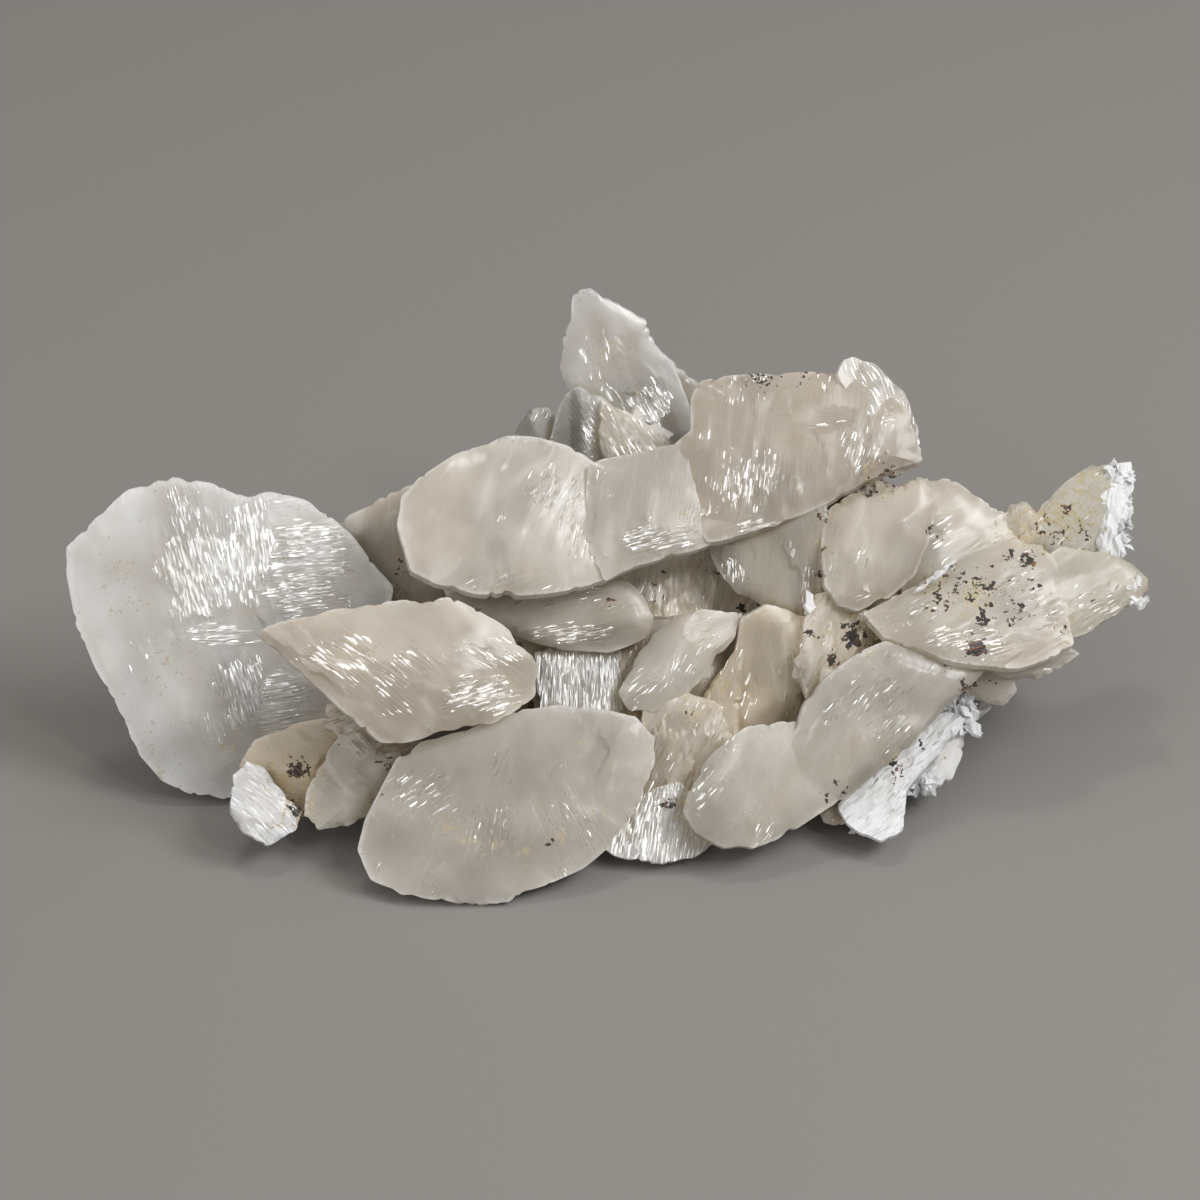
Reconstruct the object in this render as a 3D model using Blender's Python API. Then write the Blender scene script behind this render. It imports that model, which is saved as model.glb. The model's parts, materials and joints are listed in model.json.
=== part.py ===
"""Calcite cluster: thin lens-shaped and slab-shaped crystals grown together in one solid.

The crystals on the show side are flat outlines laid out as they are seen from that side, in
millimetres, each on its own leaning plane and swollen to a lens or a slab. The crystals of the
back are ovals placed round the heart of the cluster. All of them are joined and cut off flat.
"""

import math
from collections import namedtuple

import bmesh
import bpy
from mathutils import Vector

MM = 0.001

# The show view looks along +Y and down on the cluster. Lengths below are in millimetres.
SHOW_ELEVATION = math.radians(38)
SHOW_DISTANCE = 450
SHOW_MIDDLE = Vector((0, 0, 36.2))
ACROSS = Vector((1, 0, 0))
UPWARD = Vector((0, math.sin(SHOW_ELEVATION), math.cos(SHOW_ELEVATION)))
INWARD = Vector((0, math.cos(SHOW_ELEVATION), -math.sin(SHOW_ELEVATION)))

# Where the middle of the joined cluster's base lies before it is moved to the origin.
BASE_MIDDLE = Vector((1.9, 17.4, 0))

# A profile is the swelling, as a share of the thickness, at shares of the way to the rim.
PROFILES = {
    "lens": ((1.0, 0.05), (0.80, 0.52), (0.42, 1.0)),
    "slab": ((1.0, 0.22), (0.90, 0.86), (0.62, 1.0)),
    "ledge": ((1.0, 0.08), (0.86, 0.50), (0.83, 0.74), (0.50, 1.0)),
}
BACK_PROFILE = ((1.0, 0.05), (0.55, 1.0))
CREST_SHARE = 0.75
RIB_SHARE = 0.10

# Each shown crystal: its outline as (across, up) in the show view, how deep its middle lies
# behind the middle of the view, how much deeper it gets per millimetre to the right and per
# millimetre up, how far it swells toward the viewer and away, and its profile.
Shown = namedtuple("Shown", "name outline depth right up front back profile")

SHOWN = (
    Shown("left_fan", (
        (-80, 4), (-80, 8), (-76, 12.5), (-71, 16.5), (-64.5, 18.5), (-58, 17.5), (-54.5, 16),
        (-50, 16.5), (-44, 15), (-38.5, 11.5), (-34, 5.5), (-31, 2), (-32, -6), (-35.5, -15),
        (-42.5, -23), (-50.5, -29), (-56, -30), (-61.5, -29.5), (-66, -27.5), (-69, -23.5),
        (-73, -15.5), (-76, -10), (-78.5, -4)),
        15, 0.10, -0.10, 3.4, 5.0, "lens"),
    Shown("spear", (
        (-52, -5), (-49, -3.5), (-39, -1), (-30, 0), (-22.5, 0.5), (-14, -4), (-9, -10),
        (-9.5, -14.5), (-15.5, -18.5), (-23, -20), (-30.5, -22), (-33, -21.5), (-39.5, -16),
        (-45.5, -10.5)),
        0, 0.22, 0.10, 4.0, 7.0, "lens"),
    Shown("corner_rhomb", (
        (-55.5, -26), (-53, -24), (-50.5, -25), (-47, -29), (-44.5, -32), (-45.5, -34.5),
        (-50, -37.5), (-53.5, -35), (-55.5, -32)),
        5, 0.25, 0.20, 3.0, 5.0, "slab"),
    Shown("stained_wedge", (
        (-54.5, -25), (-52, -21), (-46, -18.5), (-40, -17.5), (-38, -20), (-41, -25),
        (-43, -29), (-44.5, -33), (-47, -30.5), (-50.5, -26)),
        9, 0.10, 0.05, 3.0, 8.0, "slab"),
    Shown("ridge_wedge", (
        (-38, -19), (-35, -20), (-32, -23), (-29.5, -22.5), (-30, -26.5), (-32, -30),
        (-34, -32.5), (-38, -34), (-42.5, -34.5), (-44.5, -32.5), (-44, -28.5),
        (-41.5, -23.5)),
        6, 0.05, 0.10, 3.0, 8.0, "lens"),
    Shown("front_fan", (
        (-36.5, -37.5), (-35.5, -33), (-33, -28), (-30.5, -23.5), (-27, -21), (-19.5, -19),
        (-12, -16), (-5.5, -15.5), (0.5, -16.5), (5.5, -17.5), (8.5, -20.5), (8.5, -24),
        (7.5, -28), (5.5, -32), (2, -37), (-2.5, -40.5), (-8, -43), (-14, -45.5),
        (-19.5, -46), (-24.5, -45), (-30, -44.5), (-34.5, -42)),
        2, 0.04, 0.12, 3.2, 10.0, "lens"),
    Shown("left_lens", (
        (-30.5, 11), (-30, 15), (-27.5, 18), (-21.5, 22), (-14.5, 24.5), (-9.5, 24),
        (-4, 22.5), (0.5, 19.5), (2, 14), (3, 7.5), (1, 2.5), (-5.5, 1), (-12, 0),
        (-18.5, 0.5), (-24.5, 2), (-28.5, 4)),
        8, 0.12, 0.30, 5.0, 9.0, "lens"),
    Shown("mid_lens", (
        (-2, 20.5), (6, 22), (13.5, 24.5), (18.5, 18), (19, 11.5), (17, 8), (11.5, 6.5),
        (6, 5), (0.5, 2.5), (-3, 10)),
        12, 0.10, 0.25, 4.0, 8.0, "lens"),
    Shown("top_blade", (
        (-6.5, 35), (-6, 38.5), (-4.5, 43), (-4, 46), (-2, 47), (2.5, 45), (7, 42),
        (8.5, 38.5), (11, 35.5), (13, 30.5), (14.5, 25.5), (13.5, 20.5), (7.5, 20),
        (2.5, 24), (0, 28), (-3.5, 31), (-5, 32)),
        25, 0.10, -0.35, 2.4, 4.5, "slab"),
    Shown("top_blade_back", (
        (9, 37), (11.5, 35.5), (15, 33), (17, 28.5), (16, 23), (10, 22), (7, 29)),
        30, 0.10, -0.30, 2.0, 4.0, "slab"),
    Shown("clear_tip", (
        (-14, 23.5), (-12.5, 26.5), (-10.5, 29), (-8, 29), (-6.5, 27.5), (-5, 23),
        (-8, 18), (-13, 18)),
        24, 0.00, -0.20, 2.5, 4.0, "slab"),
    Shown("glint_pyramid", (
        (-8, 22.5), (-6.5, 28), (-5, 31), (-3, 32), (0.5, 30.5), (2.5, 27.5), (4, 23),
        (3, 18), (-2, 17), (-7, 18)),
        20, -0.30, 0.10, 3.5, 8.0, "lens"),
    Shown("shard", (
        (0, 30), (5, 27.5), (10, 24.5), (11.5, 22), (6, 19), (1, 20), (-0.5, 25)),
        18, 0.15, 0.10, 2.0, 7.0, "slab"),
    Shown("upper_slab", (
        (13.5, 30.5), (15.5, 33), (22.5, 33.5), (30, 34), (36.5, 34), (42, 32.5),
        (46, 28.5), (48.5, 20.5), (42.5, 18.5), (37, 15.5), (31, 12.5), (25.5, 10),
        (16, 8), (13, 12.5), (10, 17.5), (9.5, 22), (13.5, 25)),
        14, 0.04, 0.32, 4.0, 9.0, "ledge"),
    Shown("shoulder", (
        (35.5, 34), (36.5, 36), (38, 36.5), (41, 35), (45.5, 31), (47.5, 27),
        (48.5, 20.5), (44, 18), (40, 24), (37, 29)),
        17, 0.50, 0.30, 3.0, 6.0, "slab"),
    Shown("hanging_blade", (
        (16, 8), (22, 11), (29, 14), (34, 16), (34.5, 7), (34, 1), (33, -2.5), (29, -4),
        (25, -1.5), (20.5, 1), (17.5, 4.5)),
        15, -0.10, -0.25, 3.0, 8.0, "slab"),
    Shown("right_shield", (
        (33.5, 13), (37.5, 16), (43, 16.5), (48.5, 18.5), (50.5, 15), (49, 8), (47, 3.5),
        (43, 0), (38.5, -2), (35.5, -1), (33.5, 2), (33, 8)),
        13, 0.10, 0.15, 3.6, 8.0, "lens"),
    Shown("right_back", (
        (47, 18.5), (52.5, 18), (56, 16), (59, 13.5), (62, 13), (64, 10), (63.5, 6),
        (58.5, 2), (51, -1), (46, -1.5), (43, 6), (44.5, 14)),
        20, 0.15, 0.20, 3.5, 6.0, "ledge"),
    Shown("speckled_blade", (
        (39, -2.5), (42.5, -0.5), (47.5, 2), (53.5, 6), (60.5, 9), (66.5, 8), (69.5, 3),
        (70, -3), (71, -7), (66, -10), (61, -11), (54, -10), (48, -8.5), (42, -6)),
        12, 0.08, 0.45, 4.0, 6.0, "lens"),
    Shown("under_plate", (
        (56, -6), (64, -3.5), (72, -8), (69.5, -10), (65.5, -12), (61, -12), (57, -10.5)),
        14, 0.05, 0.10, 2.0, 4.0, "slab"),
    Shown("tip_blade", (
        (65.5, 5.5), (69, 8), (75, 7.5), (79.5, 5.5), (82.5, 3), (82, 1), (78.5, -2),
        (73.5, -5), (69, -6.5), (64, -5), (62, 2)),
        16, 0.15, 0.30, 3.2, 4.5, "slab"),
    Shown("far_blade", (
        (62, 8), (66, 14), (69.5, 17.5), (73.5, 20.5), (77, 20), (79.5, 20.5), (80, 16.5),
        (79, 15), (80, 13.5), (79, 12), (77.5, 10.5), (78.5, 8), (79, 6.5), (74, 3),
        (66, 1)),
        23, 0.05, 0.10, 3.0, 5.0, "slab"),
    Shown("nub", (
        (59, 12), (62, 15), (64, 15), (65.5, 13.5), (67, 10), (62.5, 7)),
        22, 0.00, 0.00, 2.5, 4.0, "slab"),
    Shown("round_plate", (
        (53, -10), (57.5, -9), (61.5, -11), (62.5, -13.5), (61.5, -15), (60.5, -16.5),
        (58, -16), (55, -14.5)),
        14, 0.10, 0.10, 2.0, 3.0, "slab"),
    Shown("tongue_disc", (
        (12, -32), (12.5, -29), (15, -24.5), (18.5, -21), (22, -19), (29, -18),
        (35, -20.5), (38, -25), (37, -29.5), (33, -32), (28.5, -35), (23.5, -37.5),
        (18.5, -37.5), (14, -35.5)),
        5, 0.02, 0.20, 3.2, 10.0, "lens"),
    Shown("tongue_slab", (
        (29.5, -19), (30.5, -15), (33, -12), (38.5, -8), (42.5, -6), (49.5, -8.5),
        (58, -10.5), (53, -15), (46, -22.5), (40.5, -27), (37, -30), (32.5, -31),
        (28, -28.5), (27.5, -22.5)),
        8, 0.12, 0.10, 3.6, 9.0, "slab"),
    Shown("white_mass", (
        (35.5, -31), (39, -26.5), (45, -20), (50, -15), (54, -12), (58, -12), (59, -16),
        (55, -19), (50.5, -24.5), (46, -29), (45.5, -34.5), (42.5, -36.5), (39.5, -35.5),
        (37, -33.5)),
        11.5, 0.00, 0.55, 2.6, 6.0, "slab"),
    Shown("white_lobe", (
        (46, -26), (49, -18), (53, -17), (55, -20), (54.5, -24), (53, -27), (51, -28),
        (49, -27.5)),
        15, 0.00, 0.40, 2.4, 4.0, "lens"),
    Shown("stub", (
        (32.5, -31), (37, -29), (38, -32.5), (36, -34), (33.5, -33.5)),
        10.5, 0.00, 0.20, 1.5, 4.0, "slab"),
    Shown("centre_slab", (
        (-24.5, 4), (-18, 3), (-12, 3), (-5.5, 4), (2, 5), (6.5, 1), (8.5, -2.5),
        (7.5, -6), (1.5, -8), (-6, -8), (-12, -6), (-18, -5), (-22, -2.5)),
        13, 0.04, 0.10, 3.0, 8.0, "slab"),
    Shown("striated_block", (
        (-10, -8), (-3.5, -6), (3, -6), (3.5, -17), (0, -19), (-6, -19), (-9.5, -17)),
        13, 0.10, 0.30, 2.6, 8.0, "slab"),
    Shown("centre_leaf", (
        (2.5, -14), (5, -9), (7.5, -5), (11, -2), (15.5, -1), (21.5, -2), (20.5, -5.5),
        (17, -9.5), (13.5, -14), (8, -17), (4, -17)),
        12, 0.10, 0.10, 2.8, 8.0, "lens"),
    Shown("recess_wall", (
        (-0.5, 1), (3, 8), (15, 12), (22, 6), (24, -2), (15, -5), (7.5, -5), (1, -3)),
        22, 0.10, -0.30, 2.0, 8.0, "slab"),
    Shown("centre_column", (
        (21, -2.5), (25, -0.5), (30.5, -2), (34, -6.5), (31, -12.5), (30.5, -20),
        (25.5, -22), (20, -20), (18.5, -14), (20, -7.5)),
        14, 0.10, -0.10, 2.6, 8.0, "slab"),
    Shown("inner_fin", (
        (15, -15.5), (17.5, -11), (21.5, -5.5), (22, -13.5), (20.5, -21), (17, -20)),
        12, -0.30, 0.10, 1.8, 8.0, "slab"),
    Shown("grooved_wall", (
        (6, -16), (13.5, -13.5), (20, -16), (20, -22), (16, -28.5), (13, -31.5),
        (5, -31), (4, -24)),
        10, 0.10, 0.15, 2.2, 12.0, "slab"),
    Shown("glassy_foot", (
        (-1, -36), (4, -29), (12, -27), (17, -31), (18, -36.5), (14, -39), (9, -40),
        (6, -39.5), (2, -38.3)),
        6, 0.05, 0.25, 1.6, 12.0, "slab"),
    Shown("left_back", (
        (-39.5, 11.5), (-34, 15), (-29.5, 17), (-24, 18), (-21, 9), (-22, -2), (-32, -3),
        (-36, 2), (-38.5, 7)),
        22, 0.10, -0.10, 3.0, 7.0, "lens"),
)

# Each hidden crystal: the middle of its oval, the compass and height angles that its face
# looks toward, how far the oval is turned, its length and width, how far it swells outward
# and inward, and its profile.
Hidden = namedtuple("Hidden", "name middle compass height turn length width out back profile")

HIDDEN = (
    Hidden("heart_left", (-22, 14, 10), 95, 55, 5, 56, 40, 10, 16, "slab"),
    Hidden("heart_middle", (10, 20, 14), 90, 50, 0, 54, 46, 12, 18, "slab"),
    Hidden("heart_right", (36, 18, 10), 80, 55, -8, 44, 40, 10, 16, "slab"),
    Hidden("back_fan_left", (-50, 19, 15), 125, 30, 20, 42, 30, 4, 6, "lens"),
    Hidden("back_fan_low", (-32, 33, 13), 105, 40, -15, 40, 30, 4, 8, "lens"),
    Hidden("back_slab_left", (-10, 41, 18), 95, 30, 10, 42, 32, 4, 9, "ledge"),
    Hidden("back_slab_middle", (14, 44, 24), 85, 25, -20, 42, 34, 4, 9, "lens"),
    Hidden("back_fan_right", (38, 38, 20), 70, 30, 12, 44, 32, 4, 8, "ledge"),
    Hidden("back_end_right", (55, 27, 17), 45, 25, -10, 30, 24, 4, 7, "lens"),
    Hidden("back_upper_left", (-14, 27, 29), 105, 38, 8, 34, 24, 4, 9, "lens"),
    Hidden("back_upper_right", (30, 33, 33), 78, 32, -12, 38, 26, 4, 10, "lens"),
    Hidden("back_peak", (6, 42, 36), 95, 20, 35, 30, 20, 3, 8, "slab"),
    Hidden("skirt_left", (-46, 32, 6), 115, 62, 12, 36, 20, 3, 5, "lens"),
    Hidden("skirt_middle", (-16, 48, 7), 92, 65, -6, 40, 24, 3, 5, "slab"),
    Hidden("skirt_back", (20, 52, 9), 85, 60, 8, 46, 26, 3, 6, "lens"),
    Hidden("skirt_right", (48, 40, 8), 62, 58, -14, 34, 22, 3, 5, "slab"),
    Hidden("under_left", (-58, 12, 8), 200, -20, 30, 26, 18, 3, 5, "lens"),
    Hidden("under_right", (58, 16, 13), 330, -30, 10, 26, 18, 3, 6, "lens"),
)
OVAL_POINTS = 14
OVAL_POINTEDNESS = 0.22
OVAL_WAVE = 0.06

CUT_SIZE = 400
FLAT_ANGLE = math.radians(0.5)
CALCITE_COLOUR = (0.78, 0.75, 0.70, 1.0)
CALCITE_ROUGHNESS = 0.30
CALCITE_METALLIC = 0.0


def clear_scene():
    for item in list(bpy.data.objects):
        bpy.data.objects.remove(item, do_unlink=True)


def show_point(across, up, deep):
    """The place, in millimetres, of a point of the show view at a depth behind its middle."""
    widening = 1 + deep / SHOW_DISTANCE
    sideways = (across * ACROSS + up * UPWARD) * widening
    return SHOW_MIDDLE + sideways + deep * INWARD


def shown_rim(crystal):
    """The outline laid on the crystal's leaning plane, and the way that the plane faces."""
    count = len(crystal.outline)
    middle_across = sum(point[0] for point in crystal.outline) / count
    middle_up = sum(point[1] for point in crystal.outline) / count
    middle = show_point(middle_across, middle_up, crystal.depth)
    facing = (crystal.right * ACROSS + crystal.up * UPWARD - INWARD).normalized()
    eye = show_point(0, 0, -SHOW_DISTANCE)
    rim = []
    for across, up in crystal.outline:
        sight = show_point(across, up, 0) - eye
        reach = (middle - eye).dot(facing) / sight.dot(facing)
        rim.append(eye + reach * sight)
    return rim, facing


def oval_radius(angle, number):
    """A gentle unevenness of an oval's rim, other on each crystal."""
    wave = math.sin(3 * angle + number) + 0.6 * math.sin(5 * angle + 2.3 * number)
    return 1 + OVAL_WAVE * wave


def hidden_rim(crystal, number):
    """A slightly pointed oval on the crystal's plane, and the way that the plane faces."""
    compass = math.radians(crystal.compass)
    height = math.radians(crystal.height)
    turn = math.radians(crystal.turn)
    level = math.cos(height)
    facing = Vector((math.cos(compass) * level, math.sin(compass) * level, math.sin(height)))
    side = Vector((0, 0, 1)).cross(facing).normalized()
    rise = facing.cross(side)
    rim = []
    for step in range(OVAL_POINTS):
        angle = math.tau * step / OVAL_POINTS
        radius = oval_radius(angle, number)
        thinning = 1 - OVAL_POINTEDNESS * math.cos(angle) ** 2
        along = 0.5 * crystal.length * radius * math.cos(angle)
        over = 0.5 * crystal.width * radius * thinning * math.sin(angle)
        sideways = along * math.cos(turn) - over * math.sin(turn)
        upward = along * math.sin(turn) + over * math.cos(turn)
        rim.append(Vector(crystal.middle) + sideways * side + upward * rise)
    return rim, facing


def crest_of(rim, facing):
    """The two ends of the line down the middle of a crystal, toward which its rim shrinks."""
    middle = sum(rim, Vector()) / len(rim)
    far = max(rim, key=lambda point: (point - middle).length)
    along = (far - middle).normalized()
    over = facing.cross(along)
    lengthwise = [(point - middle).dot(along) for point in rim]
    widthwise = [(point - middle).dot(over) for point in rim]
    spare = (max(lengthwise) - min(lengthwise)) - (max(widthwise) - min(widthwise))
    half = 0.5 * CREST_SHARE * max(spare, 0)
    centre = middle + 0.5 * (max(lengthwise) + min(lengthwise)) * along
    return centre - half * along, centre + half * along


def nearest_on_crest(point, start, end):
    line = end - start
    if line.length < 1e-6:
        return start
    share = (point - start).dot(line) / line.length_squared
    return start + min(max(share, 0), 1) * line


def ring_of(rim, crest, swell, share, height):
    """The rim drawn in toward the crest and raised, with low ribs all round the flat top."""
    ring = []
    for step, point in enumerate(rim):
        root = nearest_on_crest(point, crest[0], crest[1])
        rib = RIB_SHARE * (step % 2) if height < 1 else 0
        ring.append(root + share * (point - root) + height * (1 - rib) * swell)
    return ring


def loft(rings):
    """One closed solid through rings of equal point counts, its first and last rings capped."""
    solid = bmesh.new()
    loops = [[solid.verts.new(MM * point) for point in ring] for ring in rings]
    count = len(rings[0])
    for lower, upper in zip(loops, loops[1:]):
        for step in range(count):
            after = (step + 1) % count
            solid.faces.new((lower[step], lower[after], upper[after], upper[step]))
    solid.faces.new(list(reversed(loops[0])))
    solid.faces.new(loops[-1])
    bmesh.ops.recalc_face_normals(solid, faces=solid.faces)
    bmesh.ops.triangulate(solid, faces=solid.faces)
    return solid


def crystal_mesh(name, rim, facing, front, back, profile):
    crest = crest_of(rim, facing)
    backs = [ring_of(rim, crest, -back * facing, share, height)
             for share, height in reversed(BACK_PROFILE)]
    fronts = [ring_of(rim, crest, front * facing, share, height)
              for share, height in PROFILES[profile]]
    solid = loft(backs + fronts)
    mesh = bpy.data.meshes.new(name)
    solid.to_mesh(mesh)
    solid.free()
    return mesh


def all_crystals():
    """The name and mesh of every crystal, the heart of the cluster first."""
    for number, crystal in enumerate(HIDDEN):
        rim, facing = hidden_rim(crystal, number)
        yield crystal.name, crystal_mesh(
            crystal.name, rim, facing, crystal.out, crystal.back, crystal.profile)
    for crystal in SHOWN:
        rim, facing = shown_rim(crystal)
        yield crystal.name, crystal_mesh(
            crystal.name, rim, facing, crystal.front, crystal.back, crystal.profile)


def make_collection(name):
    group = bpy.data.collections.new(name)
    bpy.context.scene.collection.children.link(group)
    return group


def make_material():
    material = bpy.data.materials.new("calcite")
    material.use_nodes = True
    surface = material.node_tree.nodes["Principled BSDF"]
    surface.inputs["Base Color"].default_value = CALCITE_COLOUR
    surface.inputs["Roughness"].default_value = CALCITE_ROUGHNESS
    surface.inputs["Metallic"].default_value = CALCITE_METALLIC
    return material


def make_cutter(group):
    """A block whose top is the plane on which the cluster was cut off."""
    bpy.ops.mesh.primitive_cube_add(size=CUT_SIZE * MM, location=(0, 0, -0.5 * CUT_SIZE * MM))
    cutter = bpy.context.object
    cutter.name = "base_cutter"
    for owner in list(cutter.users_collection):
        owner.objects.unlink(cutter)
    group.objects.link(cutter)
    cutter.hide_render = True
    cutter.display_type = "WIRE"
    return cutter


def add_boolean(item, operation, tool=None, tools=None):
    modifier = item.modifiers.new(operation.lower(), "BOOLEAN")
    modifier.operation = operation
    modifier.solver = "EXACT"
    if tools:
        modifier.operand_type = "COLLECTION"
        modifier.collection = tools
    else:
        modifier.object = tool


def bake(item):
    """Replaces the object's mesh by what its modifiers make of it."""
    evaluated = item.evaluated_get(bpy.context.evaluated_depsgraph_get())
    mesh = bpy.data.meshes.new_from_object(evaluated)
    item.modifiers.clear()
    item.data = mesh


def tidy_faces(mesh):
    """Joins the slivers that lie in one flat face and splits every face into triangles."""
    skin = bmesh.new()
    skin.from_mesh(mesh)
    bmesh.ops.dissolve_limit(
        skin, angle_limit=FLAT_ANGLE, verts=skin.verts, edges=skin.edges)
    bmesh.ops.triangulate(skin, faces=skin.faces)
    skin.to_mesh(mesh)
    skin.free()


def join_crystals(group, cutters):
    cluster = None
    for name, mesh in all_crystals():
        item = bpy.data.objects.new(name, mesh)
        if cluster is None:
            group.objects.link(item)
            cluster = item
            continue
        cutters.objects.link(item)
        item.hide_render = True
        item.display_type = "WIRE"
        add_boolean(cluster, "UNION", tool=item)
        bake(cluster)
    return cluster


def build():
    clear_scene()
    group = make_collection("calcite_cluster")
    cutters = make_collection("cutters")
    cluster = join_crystals(group, cutters)
    add_boolean(cluster, "DIFFERENCE", tool=make_cutter(cutters))
    bake(cluster)
    tidy_faces(cluster.data)
    cluster.name = "calcite_cluster"
    for vertex in cluster.data.vertices:
        vertex.co -= MM * BASE_MIDDLE
    cluster.data.materials.clear()
    cluster.data.materials.append(make_material())


build()
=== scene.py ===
"""Looks of the calcite cluster: each crystal as a fine mesh, all joined, in milky calcite."""

import json
import math
from collections import namedtuple

import bmesh
import bpy
import numpy as np
from mathutils import Matrix, Quaternion, Vector, geometry
from mathutils.bvhtree import BVHTree

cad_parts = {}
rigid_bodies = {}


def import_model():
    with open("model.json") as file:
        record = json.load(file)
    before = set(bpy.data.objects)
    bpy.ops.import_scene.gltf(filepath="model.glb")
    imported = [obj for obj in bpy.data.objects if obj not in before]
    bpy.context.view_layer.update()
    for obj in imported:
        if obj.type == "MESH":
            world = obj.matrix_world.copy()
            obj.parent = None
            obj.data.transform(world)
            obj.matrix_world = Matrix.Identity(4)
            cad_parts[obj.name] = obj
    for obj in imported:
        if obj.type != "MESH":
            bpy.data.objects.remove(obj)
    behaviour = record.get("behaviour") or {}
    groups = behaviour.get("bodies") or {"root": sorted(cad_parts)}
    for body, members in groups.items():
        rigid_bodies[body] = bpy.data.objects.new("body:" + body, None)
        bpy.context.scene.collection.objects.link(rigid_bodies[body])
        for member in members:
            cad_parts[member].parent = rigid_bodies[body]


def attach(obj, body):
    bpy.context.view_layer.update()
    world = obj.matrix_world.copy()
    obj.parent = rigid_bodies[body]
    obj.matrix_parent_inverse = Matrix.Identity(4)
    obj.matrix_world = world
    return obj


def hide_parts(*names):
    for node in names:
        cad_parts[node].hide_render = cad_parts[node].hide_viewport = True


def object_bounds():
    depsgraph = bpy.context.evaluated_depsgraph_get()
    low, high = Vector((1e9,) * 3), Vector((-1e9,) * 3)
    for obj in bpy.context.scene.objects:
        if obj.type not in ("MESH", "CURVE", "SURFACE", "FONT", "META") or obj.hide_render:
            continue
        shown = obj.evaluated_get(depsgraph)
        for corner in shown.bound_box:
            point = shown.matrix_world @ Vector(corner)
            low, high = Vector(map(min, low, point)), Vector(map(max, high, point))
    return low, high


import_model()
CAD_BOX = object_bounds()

MM = 0.001

# The show view, as the solids use it. Lengths of the cluster are in millimetres.
SHOW_ELEVATION = math.radians(38)
SHOW_DISTANCE = 450
SHOW_FRAME_WIDTH = 180
SHOW_MIDDLE = Vector((0, 0, 36.2))
BASE_MIDDLE = Vector((1.9, 17.4, 0))
ACROSS = Vector((1, 0, 0))
UPWARD = Vector((0, math.sin(SHOW_ELEVATION), math.cos(SHOW_ELEVATION)))
INWARD = Vector((0, math.cos(SHOW_ELEVATION), -math.sin(SHOW_ELEVATION)))

# ---------------------------------------------------------------- the crystals

# A shown crystal's outline is its solid's, and its depth, lean and swell mostly are. Then
# come its finish, the slant of its striations in degrees from level in the show view, how bold they
# are, and its patches of other striations: slant, middle across and up, half width and height,
# boldness. No solid has the white pieces of the far tip and seams, the tan fillers seam_block and
# under_spear, or the two walls: wall_right and wall_low.
Shown = namedtuple(
    "Shown", "name outline depth right up front back profile finish slant bold patches",
    defaults=((),))

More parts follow.
